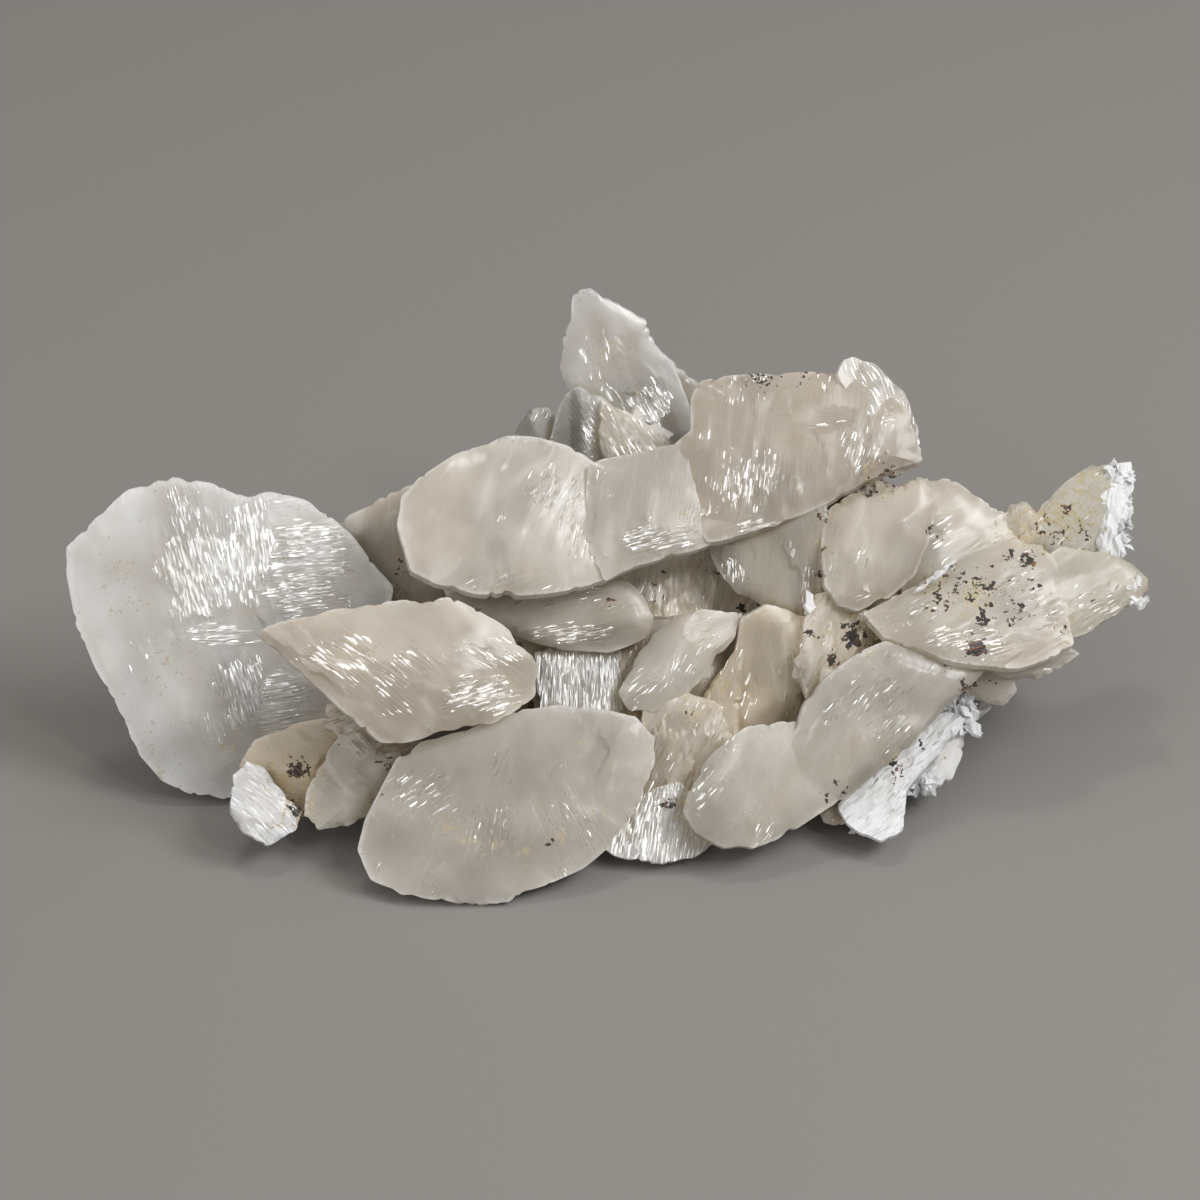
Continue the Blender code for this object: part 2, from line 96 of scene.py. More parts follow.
SHOWN = (
    Shown("left_fan", (
        (-80, 4), (-80, 8), (-76, 12.5), (-71, 16.5), (-64.5, 18.5), (-58, 17.5), (-54.5, 16),
        (-50, 16.5), (-44, 15), (-38.5, 11.5), (-34, 5.5), (-31, 2), (-32, -6), (-35.5, -15),
        (-42.5, -23), (-50.5, -29), (-56, -30), (-61.5, -29.5), (-66, -27.5), (-69, -23.5),
        (-73, -15.5), (-76, -10), (-78.5, -4)),
        15, 0.10, -0.10, 3.4, 5.0, "lens", "bluish", 106, 0.00,
        ((106, -61, 5, 7, 12, 1.0), (98, -52, 8, 7, 9, 0.9), (6, -45, 5, 9, 11, 1.0),
         (5, -57, -5, 8, 2.5, 0.8), (108, -54, -13, 4.5, 8, 1.0), (10, -48, -15, 6, 7, 1.0))),
    Shown("spear", (
        (-52, -5), (-49, -3.5), (-39, -1), (-30, 0), (-22.5, 0.5), (-14, -4), (-9, -10),
        (-9.5, -14.5), (-15.5, -18.5), (-23, -20), (-30.5, -22), (-33, -21.5), (-39.5, -16),
        (-45.5, -10.5)),
        0, 0.22, 0.10, 4.0, 7.0, "lens", "warm", -40, 0.05,
        ((-38, -38, -9, 8, 6, 0.5), (15, -18, -14, 8, 4, 0.7), (-30, -16, -8, 6, 5, 0.5))),
    Shown("corner_rhomb", (
        (-55.5, -26), (-53, -24), (-50.5, -25), (-47, -29), (-44.5, -32), (-45.5, -34.5),
        (-50, -37.5), (-53.5, -35), (-55.5, -32)),
        5, 0.25, 0.20, 3.0, 5.0, "slab", "white", -42, 0.55),
    Shown("stained_wedge", (
        (-54.5, -25), (-52, -21), (-46, -18.5), (-40, -17.5), (-38, -20), (-41, -25),
        (-43, -29), (-44.5, -33), (-47, -30.5), (-50.5, -26)),
        9, 0.10, 0.05, 3.0, 8.0, "slab", "honey", -40, 0.15),
    Shown("ridge_wedge", (
        (-38, -19), (-35, -20), (-32, -23), (-29.5, -22.5), (-30, -26.5), (-32, -30),
        (-34, -32.5), (-38, -34), (-42.5, -34.5), (-44.5, -32.5), (-44, -28.5),
        (-41.5, -23.5)),
        6, 0.05, 0.10, 3.0, 8.0, "slab", "beige", -48, 0.10,
        ((-45, -36, -22, 3, 2.5, 0.8),)),
    Shown("front_fan", (
        (-36.5, -37.5), (-35.5, -33), (-33, -28), (-30.5, -23.5), (-27, -21), (-19.5, -19),
        (-12, -16), (-5.5, -15.5), (0.5, -16.5), (5.5, -17.5), (8.5, -20.5), (8.5, -24),
        (7.5, -28), (5.5, -32), (2, -37), (-2.5, -40.5), (-8, -43), (-14, -45.5),
        (-19.5, -46), (-24.5, -45), (-30, -44.5), (-34.5, -42)),
        2, 0.04, 0.12, 3.2, 10.0, "lens", "milky", 62, 0.03,
        ((35, -28, -28, 8, 7, 0.45), (118, -4, -34, 9, 7, 0.35), (80, -17, -36, 7, 7, 0.4))),
    Shown("left_lens", (
        (-30.5, 11), (-30, 15), (-27.5, 18), (-21.5, 22), (-14.5, 24.5), (-9.5, 24),
        (-4, 22.5), (0.5, 19.5), (2, 14), (3, 7.5), (1, 2.5), (-5.5, 1), (-12, 0),
        (-18.5, 0.5), (-24.5, 2), (-28.5, 4)),
        8, 0.12, 0.30, 5.0, 9.0, "lens", "cream", 65, 0.02,
        ((60, -6, 16, 7, 6, 0.5), (75, -3, 9, 5, 5, 0.6), (20, -16, 3, 9, 2, 0.4))),
    Shown("mid_lens", (
        (-2, 20.5), (6, 22), (13.5, 24.5), (18.5, 18), (19, 11.5), (17, 8), (11.5, 6.5),
        (6, 5), (0.5, 2.5), (-3, 10)),
        9.5, 0.14, 0.28, 3.6, 8.0, "lens", "smoky", 80, 0.08,
        ((15, 9, 9, 8, 3, 0.8),)),
    Shown("top_blade", (
        (-6.5, 35), (-6, 38.5), (-4.5, 43), (-4, 46), (-2, 47), (2.5, 45), (7, 42),
        (8.5, 38.5), (11, 35.5), (13, 30.5), (14.5, 25.5), (13.5, 20.5), (7.5, 20),
        (2.5, 24), (0, 28), (-3.5, 31), (-5, 32)),
        25, 0.10, -0.35, 2.4, 4.5, "slab", "bluish", 122, 0.12,
        ((120, 8, 29, 4, 6, 0.9), (100, 0, 38, 5, 6, 0.3))),
    Shown("top_blade_back", (
        (9, 37), (11.5, 35.5), (15, 33), (17, 28.5), (16, 23), (10, 22), (7, 29)),
        30, 0.10, -0.30, 2.0, 4.0, "slab", "milky", 120, 0.10),
    Shown("clear_tip", (
        (-14, 23.5), (-12.5, 26.5), (-10.5, 29), (-8, 29), (-6.5, 27.5), (-5, 23),
        (-8, 18), (-13, 18)),
        24, 0.00, -0.20, 2.5, 4.0, "slab", "glassy", 60, 0.05),
    Shown("glint_pyramid", (
        (-8, 22.5), (-6.5, 28), (-5, 31), (-3, 32), (0.5, 30.5), (2.5, 27.5), (4, 23),
        (3, 18), (-2, 17), (-7, 18)),
        20, -0.30, 0.10, 3.5, 8.0, "lens", "glassy", -62, 0.15,
        ((-62, -1.5, 25.5, 1.8, 5, 1.0),)),
    Shown("shard", (
        (0, 30), (5, 27.5), (10, 24.5), (11.5, 22), (6, 19), (1, 20), (-0.5, 25)),
        18, 0.15, 0.10, 2.0, 7.0, "slab", "warm", 120, 0.40),
    Shown("upper_slab", (
        (13.5, 30.5), (15.5, 33), (22.5, 33.5), (30, 34), (36.5, 34), (42, 32.5),
        (46, 28.5), (48.5, 20.5), (42.5, 18.5), (37, 15.5), (31, 12.5), (25.5, 10),
        (16, 8), (13, 12.5), (10, 17.5), (9.5, 22), (13.5, 25)),
        14, 0.04, 0.32, 4.0, 9.0, "ledge", "sand", 82, 0.10,
        ((84, 22, 17, 8, 7, 0.55), (10, 34, 27, 9, 2, 0.3), (70, 40, 22, 5, 6, 0.45),
         (20, 24, 11, 9, 1.5, 0.8))),
    Shown("shoulder", (
        (35.5, 34), (36.5, 36), (38, 36.5), (41, 35), (45.5, 31), (47.5, 27),
        (48.5, 20.5), (44, 18), (40, 24), (37, 29)),
        17, 0.50, 0.30, 3.0, 6.0, "slab", "milky", 108, 0.45),
    Shown("hanging_blade", (
        (16, 8), (22, 11), (29, 14), (34, 16), (34.5, 7), (34, 1), (33, -2.5), (29, -4),
        (25, -1.5), (20.5, 1), (17.5, 4.5)),
        15, -0.10, -0.25, 3.0, 8.0, "slab", "beige", 88, 0.22,
        ((88, 20, 4, 3.5, 5, 0.5), (88, 31, 1, 1.5, 6, 0.7))),
    Shown("right_shield", (
        (33.5, 13), (37.5, 16), (43, 16.5), (48.5, 18.5), (50.5, 15), (49, 8), (47, 3.5),
        (43, 0), (38.5, -2), (35.5, -1), (33.5, 2), (33, 8)),
        13, 0.10, 0.15, 3.6, 8.0, "ledge", "warm", 70, 0.05,
        ((75, 35, 6, 1.5, 7, 0.45), (20, 41, 0, 6, 1.8, 0.40))),
    Shown("right_back", (
        (47, 18.5), (52.5, 18), (56, 16), (59, 13.5), (62, 13), (64, 10), (63.5, 6),
        (58.5, 2), (51, -1), (46, -1.5), (43, 6), (44.5, 14)),
        20, 0.15, 0.20, 3.5, 6.0, "ledge", "beige", 35, 0.15,
        ((32, 50, 10, 5, 5, 0.40), (30, 59, 8, 5, 3, 0.45))),
    Shown("speckled_blade", (
        (39, -2.5), (42.5, -0.5), (47.5, 2), (53.5, 6), (60.5, 9), (66.5, 8), (69.5, 3),
        (70, -3), (71, -7), (66, -10), (61, -11), (54, -10), (48, -8.5), (42, -6)),
        12, 0.08, 0.45, 4.0, 6.0, "lens", "beige", 28, 0.20,
        ((12, 56, -6, 9, 2.5, 1.0), (25, 48, -2, 5, 2.5, 0.5), (32, 62, 2, 6, 4, 0.35))),
    Shown("under_plate", (
        (56, -6), (64, -3.5), (72, -8), (69.5, -10), (65.5, -12), (61, -12), (57, -10.5)),
        14, 0.05, 0.10, 2.0, 4.0, "slab", "milky", 10, 0.30),
    Shown("tip_blade", (
        (65.5, 5.5), (69, 8), (75, 7.5), (79.5, 5.5), (82.5, 3), (82, 1), (78.5, -2),
        (73.5, -5), (69, -6.5), (64, -5), (62, 2)),
        16, 0.15, 0.30, 3.2, 4.5, "slab", "yellowish", 35, 0.20,
        ((30, 76, -1, 5, 3, 0.50),)),
    Shown("far_blade", (
        (62, 8), (66, 14), (69.5, 17.5), (73.5, 20.5), (77, 20), (79.5, 20.5), (80, 16.5),
        (79, 15), (80, 13.5), (79, 12), (77.5, 10.5), (78.5, 8), (79, 6.5), (74, 3),
        (66, 1)),
        23, 0.05, 0.10, 3.0, 5.0, "slab", "yellowish", 45, 0.25),
    Shown("far_white", (
        (73, 20), (77, 20.3), (79.6, 20.6), (80, 16.5), (79, 15), (80, 13.5), (79, 12),
        (77.5, 10.5), (78.5, 8), (79, 6.5), (75.5, 5), (74, 9), (75.5, 13), (73.5, 17)),
        22, 0.05, 0.20, 2.2, 4.0, "slab", "snow", 80, 0.2),
    Shown("nub", (
        (59, 12), (62, 15), (64, 15), (65.5, 13.5), (67, 10), (62.5, 7)),
        22, 0.00, 0.00, 2.5, 4.0, "slab", "beige", 45, 0.20),
    Shown("round_plate", (
        (53, -10), (57.5, -9), (61.5, -11), (62.5, -13.5), (61.5, -15), (60.5, -16.5),
        (58, -16), (55, -14.5)),
        14, 0.10, 0.10, 2.0, 3.0, "slab", "milky", 10, 0.10),
    Shown("tongue_disc", (
        (12, -32), (12.5, -29), (15, -24.5), (18.5, -21), (22, -19), (29, -18),
        (35, -20.5), (38, -25), (37, -29.5), (33, -32), (28.5, -35), (23.5, -37.5),
        (18.5, -37.5), (14, -35.5)),
        5, 0.12, 0.20, 3.0, 10.0, "ledge", "smoky", 60, 0.05,
        ((50, 16, -27, 4, 6, 0.4),)),
    Shown("tongue_slab", (
        (29.5, -19), (30.5, -15), (33, -12), (38.5, -8), (42.5, -6), (49.5, -8.5),
        (58, -10.5), (53, -15), (46, -22.5), (40.5, -27), (37, -30), (32.5, -31),
        (28, -28.5), (27.5, -22.5)),
        8, 0.12, 0.10, 3.6, 9.0, "slab", "smoky", 52, 0.08,
        ((48, 42, -16, 9, 8, 0.45),)),
    Shown("white_mass", (
        (35.5, -31), (39, -26.5), (45, -20), (50, -15), (54, -12), (58, -12), (59, -16),
        (55, -19), (50.5, -24.5), (46, -29), (45.5, -34.5), (42.5, -36.5), (39.5, -35.5),
        (37, -33.5)),
        11.5, 0.00, 0.55, 2.6, 6.0, "slab", "snow", 40, 0.30),
    Shown("white_lobe", (
        (46, -26), (49, -18), (53, -17), (55, -20), (54.5, -24), (53, -27), (51, -28),
        (49, -27.5)),
        15, 0.00, 0.40, 2.4, 4.0, "lens", "white", 60, 0.10),
    Shown("stub", (
        (32.5, -31), (37, -29), (38, -32.5), (36, -34), (33.5, -33.5)),
        10.5, 0.00, 0.20, 1.5, 4.0, "slab", "tan", 40, 0.30),
    Shown("centre_slab", (
        (-24.5, 4), (-18, 3), (-12, 3), (-5.5, 4), (2, 5), (6.5, 1), (8.5, -2.5),
        (7.5, -6), (1.5, -8), (-6, -8), (-12, -6), (-18, -5), (-22, -2.5)),
        13, 0.04, 0.10, 3.0, 8.0, "slab", "beige", 15, 0.05,
        ((10, -4, -5, 9, 2, 0.8),)),
    Shown("striated_block", (
        (-10, -8), (-3.5, -6), (3, -6), (3.5, -17), (0, -19), (-6, -19), (-9.5, -17)),
        13, 0.10, 0.30, 2.6, 8.0, "slab", "smoky", 88, 0.80),
    Shown("centre_leaf", (
        (2.5, -14), (5, -9), (7.5, -5), (11, -2), (15.5, -1), (21.5, -2), (20.5, -5.5),
        (17, -9.5), (13.5, -14), (8, -17), (4, -17)),
        12, 0.10, 0.10, 2.8, 8.0, "ledge", "beige", 40, 0.10,
        ((60, 13, -10, 4, 4, 0.50), (20, 17, -4, 4, 1.5, 0.40))),
    # Its finish is tan lightened as painted light against the shade of the upper slab.
    Shown("recess_wall", (
        (-0.5, 1), (3, 8), (15, 12), (22, 6), (24, -2), (15, -5), (7.5, -5), (1, -3)),
        22, 0.20, 0.25, 2.0, 8.0, "slab", "lit_tan", 80, 0.35),
    Shown("centre_column", (
        (21, -2.5), (25, -0.5), (30.5, -2), (34, -6.5), (31, -12.5), (30.5, -20),
        (25.5, -22), (20, -20), (18.5, -14), (20, -7.5)),
        14, 0.10, -0.10, 2.6, 8.0, "slab", "honey", 85, 0.14,
        ((70, 22, -14, 3, 6, 0.45),)),
    Shown("inner_fin", (
        (15, -15.5), (17.5, -11), (21.5, -5.5), (22, -13.5), (20.5, -21), (17, -20)),
        12, -0.30, 0.10, 1.8, 8.0, "slab", "honey", 75, 0.30),
    Shown("grooved_wall", (
        (6, -16), (13.5, -13.5), (20, -16), (20, -22), (16, -28.5), (13, -31.5),
        (5, -31), (4, -24)),
        10, 0.10, 0.15, 2.2, 8.0, "slab", "tan", 62, 0.30),
    Shown("glassy_foot", (
        (-1, -36), (4, -29), (12, -27), (17, -31), (18, -36.5), (14, -39), (9, -40),
        (6, -39.5), (2, -38.3)),
        6, 0.05, 0.25, 1.6, 6.0, "slab", "clear", 78, 0.70),
    Shown("seam_block", (
        (30.5, -3), (32, 1), (35.5, 1.5), (40, -1.5), (43, -4.5), (39.5, -8.5), (35, -12.5),
        (31, -15), (29, -9)),
        12.5, 0.20, 0.10, 2.6, 6.0, "slab", "tan", 60, 0.30),
    Shown("under_spear", (
        (-41, -15.5), (-36, -17), (-29, -19.5), (-26.5, -21), (-28.5, -25), (-33, -26),
        (-37.5, -22), (-41.5, -19)),
        8, 0.15, 0.20, 2.2, 6.0, "slab", "tan", 20, 0.30),
    Shown("wall_right", (
        (27, 8), (33, 12), (44, 12), (48, 4), (46, -6), (40, -11), (32, -12), (27, -6)),
        18, 0.10, 0.10, 2.4, 8.0, "slab", "tan", 60, 0.2),
    Shown("wall_low", (
        (-12, -6), (2, -3), (20, -6), (32, -10), (31, -22), (20, -30), (4, -33), (-8, -28)),
        15, 0.05, 0.15, 2.4, 9.0, "slab", "tan", 75, 0.2),
    Shown("white_sliver", (
        (46.8, 1.0), (48.6, 1.4), (51.5, 3.2), (54.2, 6.2), (53.4, 6.6), (50.0, 4.2)),
        10.6, -0.10, 0.40, 1.0, 4.0, "slab", "white", 40, 0.2),
    Shown("white_streak", (
        (-19.8, -3.4), (-18.0, -3.0), (-15.6, -4.4), (-15.4, -5.4), (-17.5, -5.0)),
        9.6, 0.00, 0.40, 0.7, 4.0, "slab", "white", -20, 0.2),
    Shown("left_back", (
        (-39.5, 11.5), (-34, 15), (-29.5, 17), (-24, 18), (-21, 9), (-22, -2), (-32, -3),
        (-36, 2), (-38.5, 7)),
        22, 0.10, -0.10, 3.0, 7.0, "ledge", "brownish", 70, 0.08),
)

# Flat facets of the shown crystals: toward which way in the show view, from what share of the way
# to the rim, and how steeply they fall.
FACETS = {
    "left_fan": ((185, 0.50, 0.12), (250, 0.45, 0.14), (60, 0.60, 0.12)),
    "spear": ((222, 0.78, 0.90), (97, 0.08, 0.30), (335, 0.55, 0.30)),
    "corner_rhomb": ((140, 0.20, 0.50), (235, 0.55, 0.60), (330, 0.50, 0.45)),
    "stained_wedge": ((120, 0.30, 0.30), (250, 0.30, 0.40)),
    "ridge_wedge": ((155, 0.00, 0.55), (335, 0.05, 0.35)),
    "front_fan": ((115, 0.50, 0.14), (200, 0.60, 0.28), (-15, 0.55, 0.14), (-80, 0.55, 0.16)),
    "left_lens": ((178, 0.25, 0.20), (100, 0.40, 0.30), (268, 0.45, 0.28), (5, 0.25, 0.14)),
    "mid_lens": ((80, 0.40, 0.25), (268, 0.40, 0.30)),
    "top_blade": ((160, 0.50, 0.22), (20, 0.65, 0.45)),
    "glint_pyramid": ((182, 0.00, 0.90), (-5, 0.10, 0.80)),
    "clear_tip": ((40, 0.20, 0.50), (160, 0.30, 0.40)),
    "upper_slab": ((86, 0.84, 0.90), (268, 0.62, 0.30), (180, 0.55, 0.18)),
    "shoulder": ((150, 0.30, 0.60), (-20, 0.35, 0.60)),
    "hanging_blade": ((190, 0.55, 0.40), (0, 0.50, 0.30)),
    "right_shield": ((100, 0.35, 0.22), (200, 0.50, 0.30), (-60, 0.50, 0.28)),
    "speckled_blade": ((120, 0.40, 0.30), (-70, 0.45, 0.35), (170, 0.60, 0.25)),
    "tip_blade": ((110, 0.30, 0.35), (-60, 0.40, 0.40)),
    "tongue_disc": ((110, 0.55, 0.16), (200, 0.60, 0.20), (-60, 0.60, 0.20)),
    "tongue_slab": ((140, 0.60, 0.30), (-40, 0.70, 0.40)),
    "centre_slab": ((90, 0.40, 0.20), (-80, 0.50, 0.35)),
    "centre_leaf": ((60, 0.30, 0.25), (240, 0.40, 0.25)),
}
CHANCE_FACETS = 4

# A hidden crystal's oval, place and swell are those of its solid, except that the three hearts,
# back_fan_left and back_peak are smaller, thinner or moved. Striations run lengthwise.
Hidden = namedtuple(
    "Hidden", "name middle compass height turn length width out back profile finish bold")

HIDDEN = (
    Hidden("heart_left", (-19, 17, 10), 95, 55, 5, 48, 40, 5, 16, "lens", "tan", 0.12),
    Hidden("heart_middle", (10, 23, 12), 90, 50, 0, 54, 36, 5, 18, "lens", "tan", 0.12),
    Hidden("heart_right", (36, 18, 10), 80, 55, -8, 44, 40, 5, 16, "lens", "tan", 0.12),
    Hidden("back_fan_left", (-50, 20, 14.5), 125, 30, 20, 37, 26, 4, 5, "lens", "milky", 0.16),
    Hidden("back_fan_low", (-32, 33, 13), 105, 40, -15, 40, 30, 4, 8, "lens", "cream", 0.12),
    Hidden("back_slab_left", (-10, 41, 18), 95, 30, 10, 42, 32, 4, 9, "ledge", "beige", 0.24),
    Hidden("back_slab_middle", (14, 44, 24), 85, 25, -20, 42, 34, 4, 9, "lens", "milky", 0.16),
    Hidden("back_fan_right", (38, 38, 20), 70, 30, 12, 44, 32, 4, 8, "ledge", "cream", 0.24),
    Hidden("back_end_right", (55, 27, 17), 45, 25, -10, 30, 24, 4, 7, "lens", "beige", 0.2),
    Hidden("back_upper_left", (-14, 27, 29), 105, 38, 8, 34, 24, 4, 9, "lens", "cream", 0.16),
    Hidden("back_upper_right", (30, 33, 33), 78, 32, -12, 38, 26, 4, 10, "lens", "milky", 0.08),
    Hidden("back_peak", (7, 42.5, 35), 95, 20, 35, 26, 17, 3, 7, "slab", "milky", 0.16),
    Hidden("skirt_left", (-46, 32, 6), 115, 62, 12, 36, 20, 3, 5, "lens", "cream", 0.16),
    Hidden("skirt_middle", (-16, 48, 7), 92, 65, -6, 40, 24, 3, 5, "slab", "milky", 0.2),
    Hidden("skirt_back", (20, 52, 9), 85, 60, 8, 46, 26, 3, 6, "lens", "cream", 0.16),
    Hidden("skirt_right", (48, 40, 8), 62, 58, -14, 34, 22, 3, 5, "slab", "beige", 0.2),
    Hidden("under_left", (-58, 12, 8), 200, -20, 30, 26, 18, 3, 5, "lens", "milky", 0.16),
    Hidden("under_right", (58, 16, 13), 330, -30, 10, 26, 18, 3, 6, "lens", "beige", 0.16),
)
OVAL_POINTS = 14
OVAL_POINTEDNESS = 0.22
OVAL_WAVE = 0.06
CREST_SHARE = 0.75

# The swell of each profile at a share of the way to the rim: its height at the rim, and the
# power by which it falls off.
PROFILES = {"lens": (0.36, 2.2), "slab": (0.45, 7.0), "ledge": (0.40, 3.5)}
FRONT_SHARE = 0.70
BACK_PROFILE = (0.12, 1.5)

# Loose-looking small rhombs grown on the seams and broken ends: middle across, up and deep in
# the show view, half spread across, up and deep, how many, their size and finish.
Crumbs = namedtuple("Crumbs", "middle spread count size finish")

CRUMBS = (
    Crumbs((5, 25, 19), (4, 3, 1.5), 10, 2.0, "clear"),
    Crumbs((32, -4, 11.5), (1.0, 4, 0.8), 9, 1.6, "white"),
    Crumbs((43, 17, 15.8), (5, 1.2, 1.0), 14, 1.8, "cream"),
    Crumbs((62, 9, 21), (3, 2, 1.5), 8, 2.0, "beige"),
    Crumbs((77.5, 14, 22.2), (1.8, 6, 0.8), 70, 1.3, "snow"),
    Crumbs((80.5, 1.2, 15.8), (1.2, 2.0, 0.6), 20, 1.1, "white"),
    Crumbs((41.5, -31, 11.8), (3.4, 4, 0.8), 110, 1.2, "snow"),
    Crumbs((46.5, -25, 13), (3.6, 4, 0.8), 110, 1.2, "snow"),
    Crumbs((53, -17, 14.5), (3.6, 3, 0.8), 80, 1.2, "snow"),
    Crumbs((-36, -22.5, 7.5), (3.5, 2.5, 1.0), 8, 1.8, "beige"),
)

# ---------------------------------------------------------------- finishes

# Colour in linear light, how clear the crystal is, how frosted, and how deep its chips go.
Finish = namedtuple("Finish", "colour clarity frost chips")

FINISHES = {
    "bluish": Finish((0.85, 0.835, 0.80), 0.48, 0.05, 0.02),
    "milky": Finish((0.665, 0.61, 0.525), 0.52, 0.04, 0.03),
    "cream": Finish((0.73, 0.668, 0.578), 0.50, 0.05, 0.03),
    "beige": Finish((0.70, 0.63, 0.52), 0.52, 0.04, 0.05),
    "smoky": Finish((0.62, 0.57, 0.485), 0.52, 0.04, 0.04),
    "sand": Finish((0.535, 0.455, 0.35), 0.52, 0.04, 0.05),
    "warm": Finish((0.655, 0.575, 0.46), 0.52, 0.04, 0.04),
    "honey": Finish((0.78, 0.655, 0.475), 0.50, 0.04, 0.28),
    "tan": Finish((0.74, 0.64, 0.50), 0.50, 0.04, 0.95),
    # Painted light: a lighter copy of tan, lifting the recess wall out of the shade under the upper
    # slab.
    "lit_tan": Finish((0.94, 0.83, 0.66), 0.35, 0.04, 0.80),
    "brownish": Finish((0.52, 0.45, 0.345), 0.40, 0.04, 0.04),
    "yellowish": Finish((0.51, 0.465, 0.36), 0.35, 0.12, 0.12),
    "clear": Finish((0.80, 0.77, 0.72), 0.42, 0.00, 0.12),
    "glassy": Finish((0.56, 0.54, 0.48), 0.62, 0.00, 0.12),
    "white": Finish((0.66, 0.665, 0.665), 0.20, 0.45, 0.20),
    "snow": Finish((0.57, 0.60, 0.63), 0.05, 1.00, 0.55),
}
# Painted shade in each crystal's thick middle, so that its thin rim looks lighter, as though lit
# through.
CORE_PAINTED_SHADE = np.array((0.18, 0.20, 0.23))

# Dirt, in the show view: middle across and up, radius and strength.
OXIDE = (
    (64.2, 6.1, 1.9, 1.35), (61.6, 6.9, 1.4, 1.1), (57.6, -2.6, 1.8, 1.4), (56.4, -7.2, 2, 1.4),
    (38.4, -5.5, 2.8, 1.35), (35, -8.8, 1.6, 1.3), (31.6, -5, 1.6, 1.2), (50.7, 0.5, 4, 0.85),
    (53.6, 3.4, 4, 0.85), (57.5, 1.5, 5, 0.90), (65, 2, 2.5, 0.9), (62.7, -1.8, 3, 0.95),
    (52, -10.2, 1.2, 1.1), (54.7, -13, 1.8, 1.2), (59.3, -12.1, 0.9, 1.1),
    (44.6, -25.4, 2, 1.15), (48.3, -21.8, 1.2, 1.1), (36.1, -28, 1.8, 1),
    (33.7, -29.2, 1.4, 0.95), (43.3, 19, 2.8, 1), (40.7, 16.4, 2.2, 0.95),
    (33.3, 12.6, 1.5, 1.1), (33, 7.3, 1.3, 1), (33, 4, 1.2, 1), (49.4, 10.5, 2.2, 0.85),
    (66.5, 10.7, 2.3, 1), (68.4, 9.9, 2.3, 1), (72.6, 9.9, 2, 0.95), (69.9, 13.3, 1.8, 0.9),
    (69.2, -4.5, 1.2, 0.9), (73.7, -0.3, 0.9, 0.9), (18, 33.3, 2.5, 0.8), (24, 33.5, 3.5, 0.95),
    (31, 33.8, 2.5, 0.95), (-45.3, -25.2, 2.1, 1.35), (-45.6, -31.5, 1.6, 1.25),
    (-32, -24.5, 1.8, 0.9), (-32.2, -29, 1.6, 0.9), (-30, 4.3, 2.5, 0.8),
    (10.3, -30.4, 1.9, 1.15), (2, 0, 1.4, 1.1), (21.2, -1, 1, 1.5), (13.4, -16.7, 1.2, 0.9),
    (-7.5, -36.5, 1.2, 0.85), (9, 2, 4, 0.75), (17, 5, 3, 0.75),
)
OCHRE = (
    (56.5, 0.5, 3.5, 1), (50.7, 0.5, 4, 0.7), (65, 10.5, 5, 0.9), (70, 12, 5, 0.9),
    (73, 17, 4, 0.7), (70, -3, 4, 0.5), (-46, -26, 4, 0.9),
    (-45.5, -31.5, 3, 0.9), (-72, 5, 3, 0.55), (-70, -1, 2.5, 0.5),
    (-64, -9.5, 4, 0.45), (-55, -22, 4, 0.4), (-66, -25, 5, 0.4),
    (-22.5, -33.8, 1.8, 0.7), (-20, -36.5, 2, 0.7), (-15.9, -36.3, 1.6, 0.7),
    (-11, -37.5, 1.6, 0.7), (-5.8, -35.4, 1.5, 0.7), (0.3, -31.6, 1.5, 0.7),
    (-3, -22, 1.6, 0.6), (1, -24, 1.6, 0.6), (17.4, -12.6, 3, 0.8),
    (13.4, -16.7, 2.5, 0.7), (12, -30.5, 2.5, 0.6), (5, 30, 2.5, 0.5), (2, 37, 3, 0.5),
    (-14, -11, 2.5, 0.45), (38, -6, 4, 0.8), (44, -24, 3, 0.5),
    (33, 8, 2, 0.7), (42, 18, 4, 0.7), (27, 29, 4, 0.4), (14, 12, 3, 0.4),
)
DIRT_DEPTH = 34
DIRT_FADE = 8

# ---------------------------------------------------------------- noise

PRIMES = np.array((73856093, 19349663, 83492791), dtype=np.int64)
MIXER = 1274126177
WORD = 0xFFFFFFFF


def chance(cells, seed):
    """A repeatable number from 0 to 1 for each whole-number cell."""
    mixed = ((cells * PRIMES).sum(axis=-1) + seed * 7919) & WORD
    mixed = ((mixed ^ (mixed >> 13)) * MIXER) & WORD
    mixed = ((mixed ^ (mixed >> 15)) * MIXER) & WORD
    return ((mixed ^ (mixed >> 16)) & 0xFFFF) / 65535


def noise(places, seed):
    """Smooth noise from -1 to 1 at places given as rows of three numbers."""
    cells = np.floor(places).astype(np.int64)
    part = places - cells
    part = part * part * (3 - 2 * part)
    total = np.zeros(len(places))
    for corner in np.ndindex(2, 2, 2):
        step = np.array(corner)
        weight = np.prod(np.where(step, part, 1 - part), axis=1)
        total += weight * chance(cells + step, seed)
    return 2 * total - 1


def rough_noise(places, seed, octaves=3):
    total = np.zeros(len(places))
    share = 0.5
    for octave in range(octaves):
        total += share * noise(places * 2 ** octave, seed + octave)
        share *= 0.5
    return total


def lifted(places, height):
    """Flat places with a third number, which sets each crystal's noise apart from the others'."""
    return np.column_stack((places, np.full(len(places), height)))


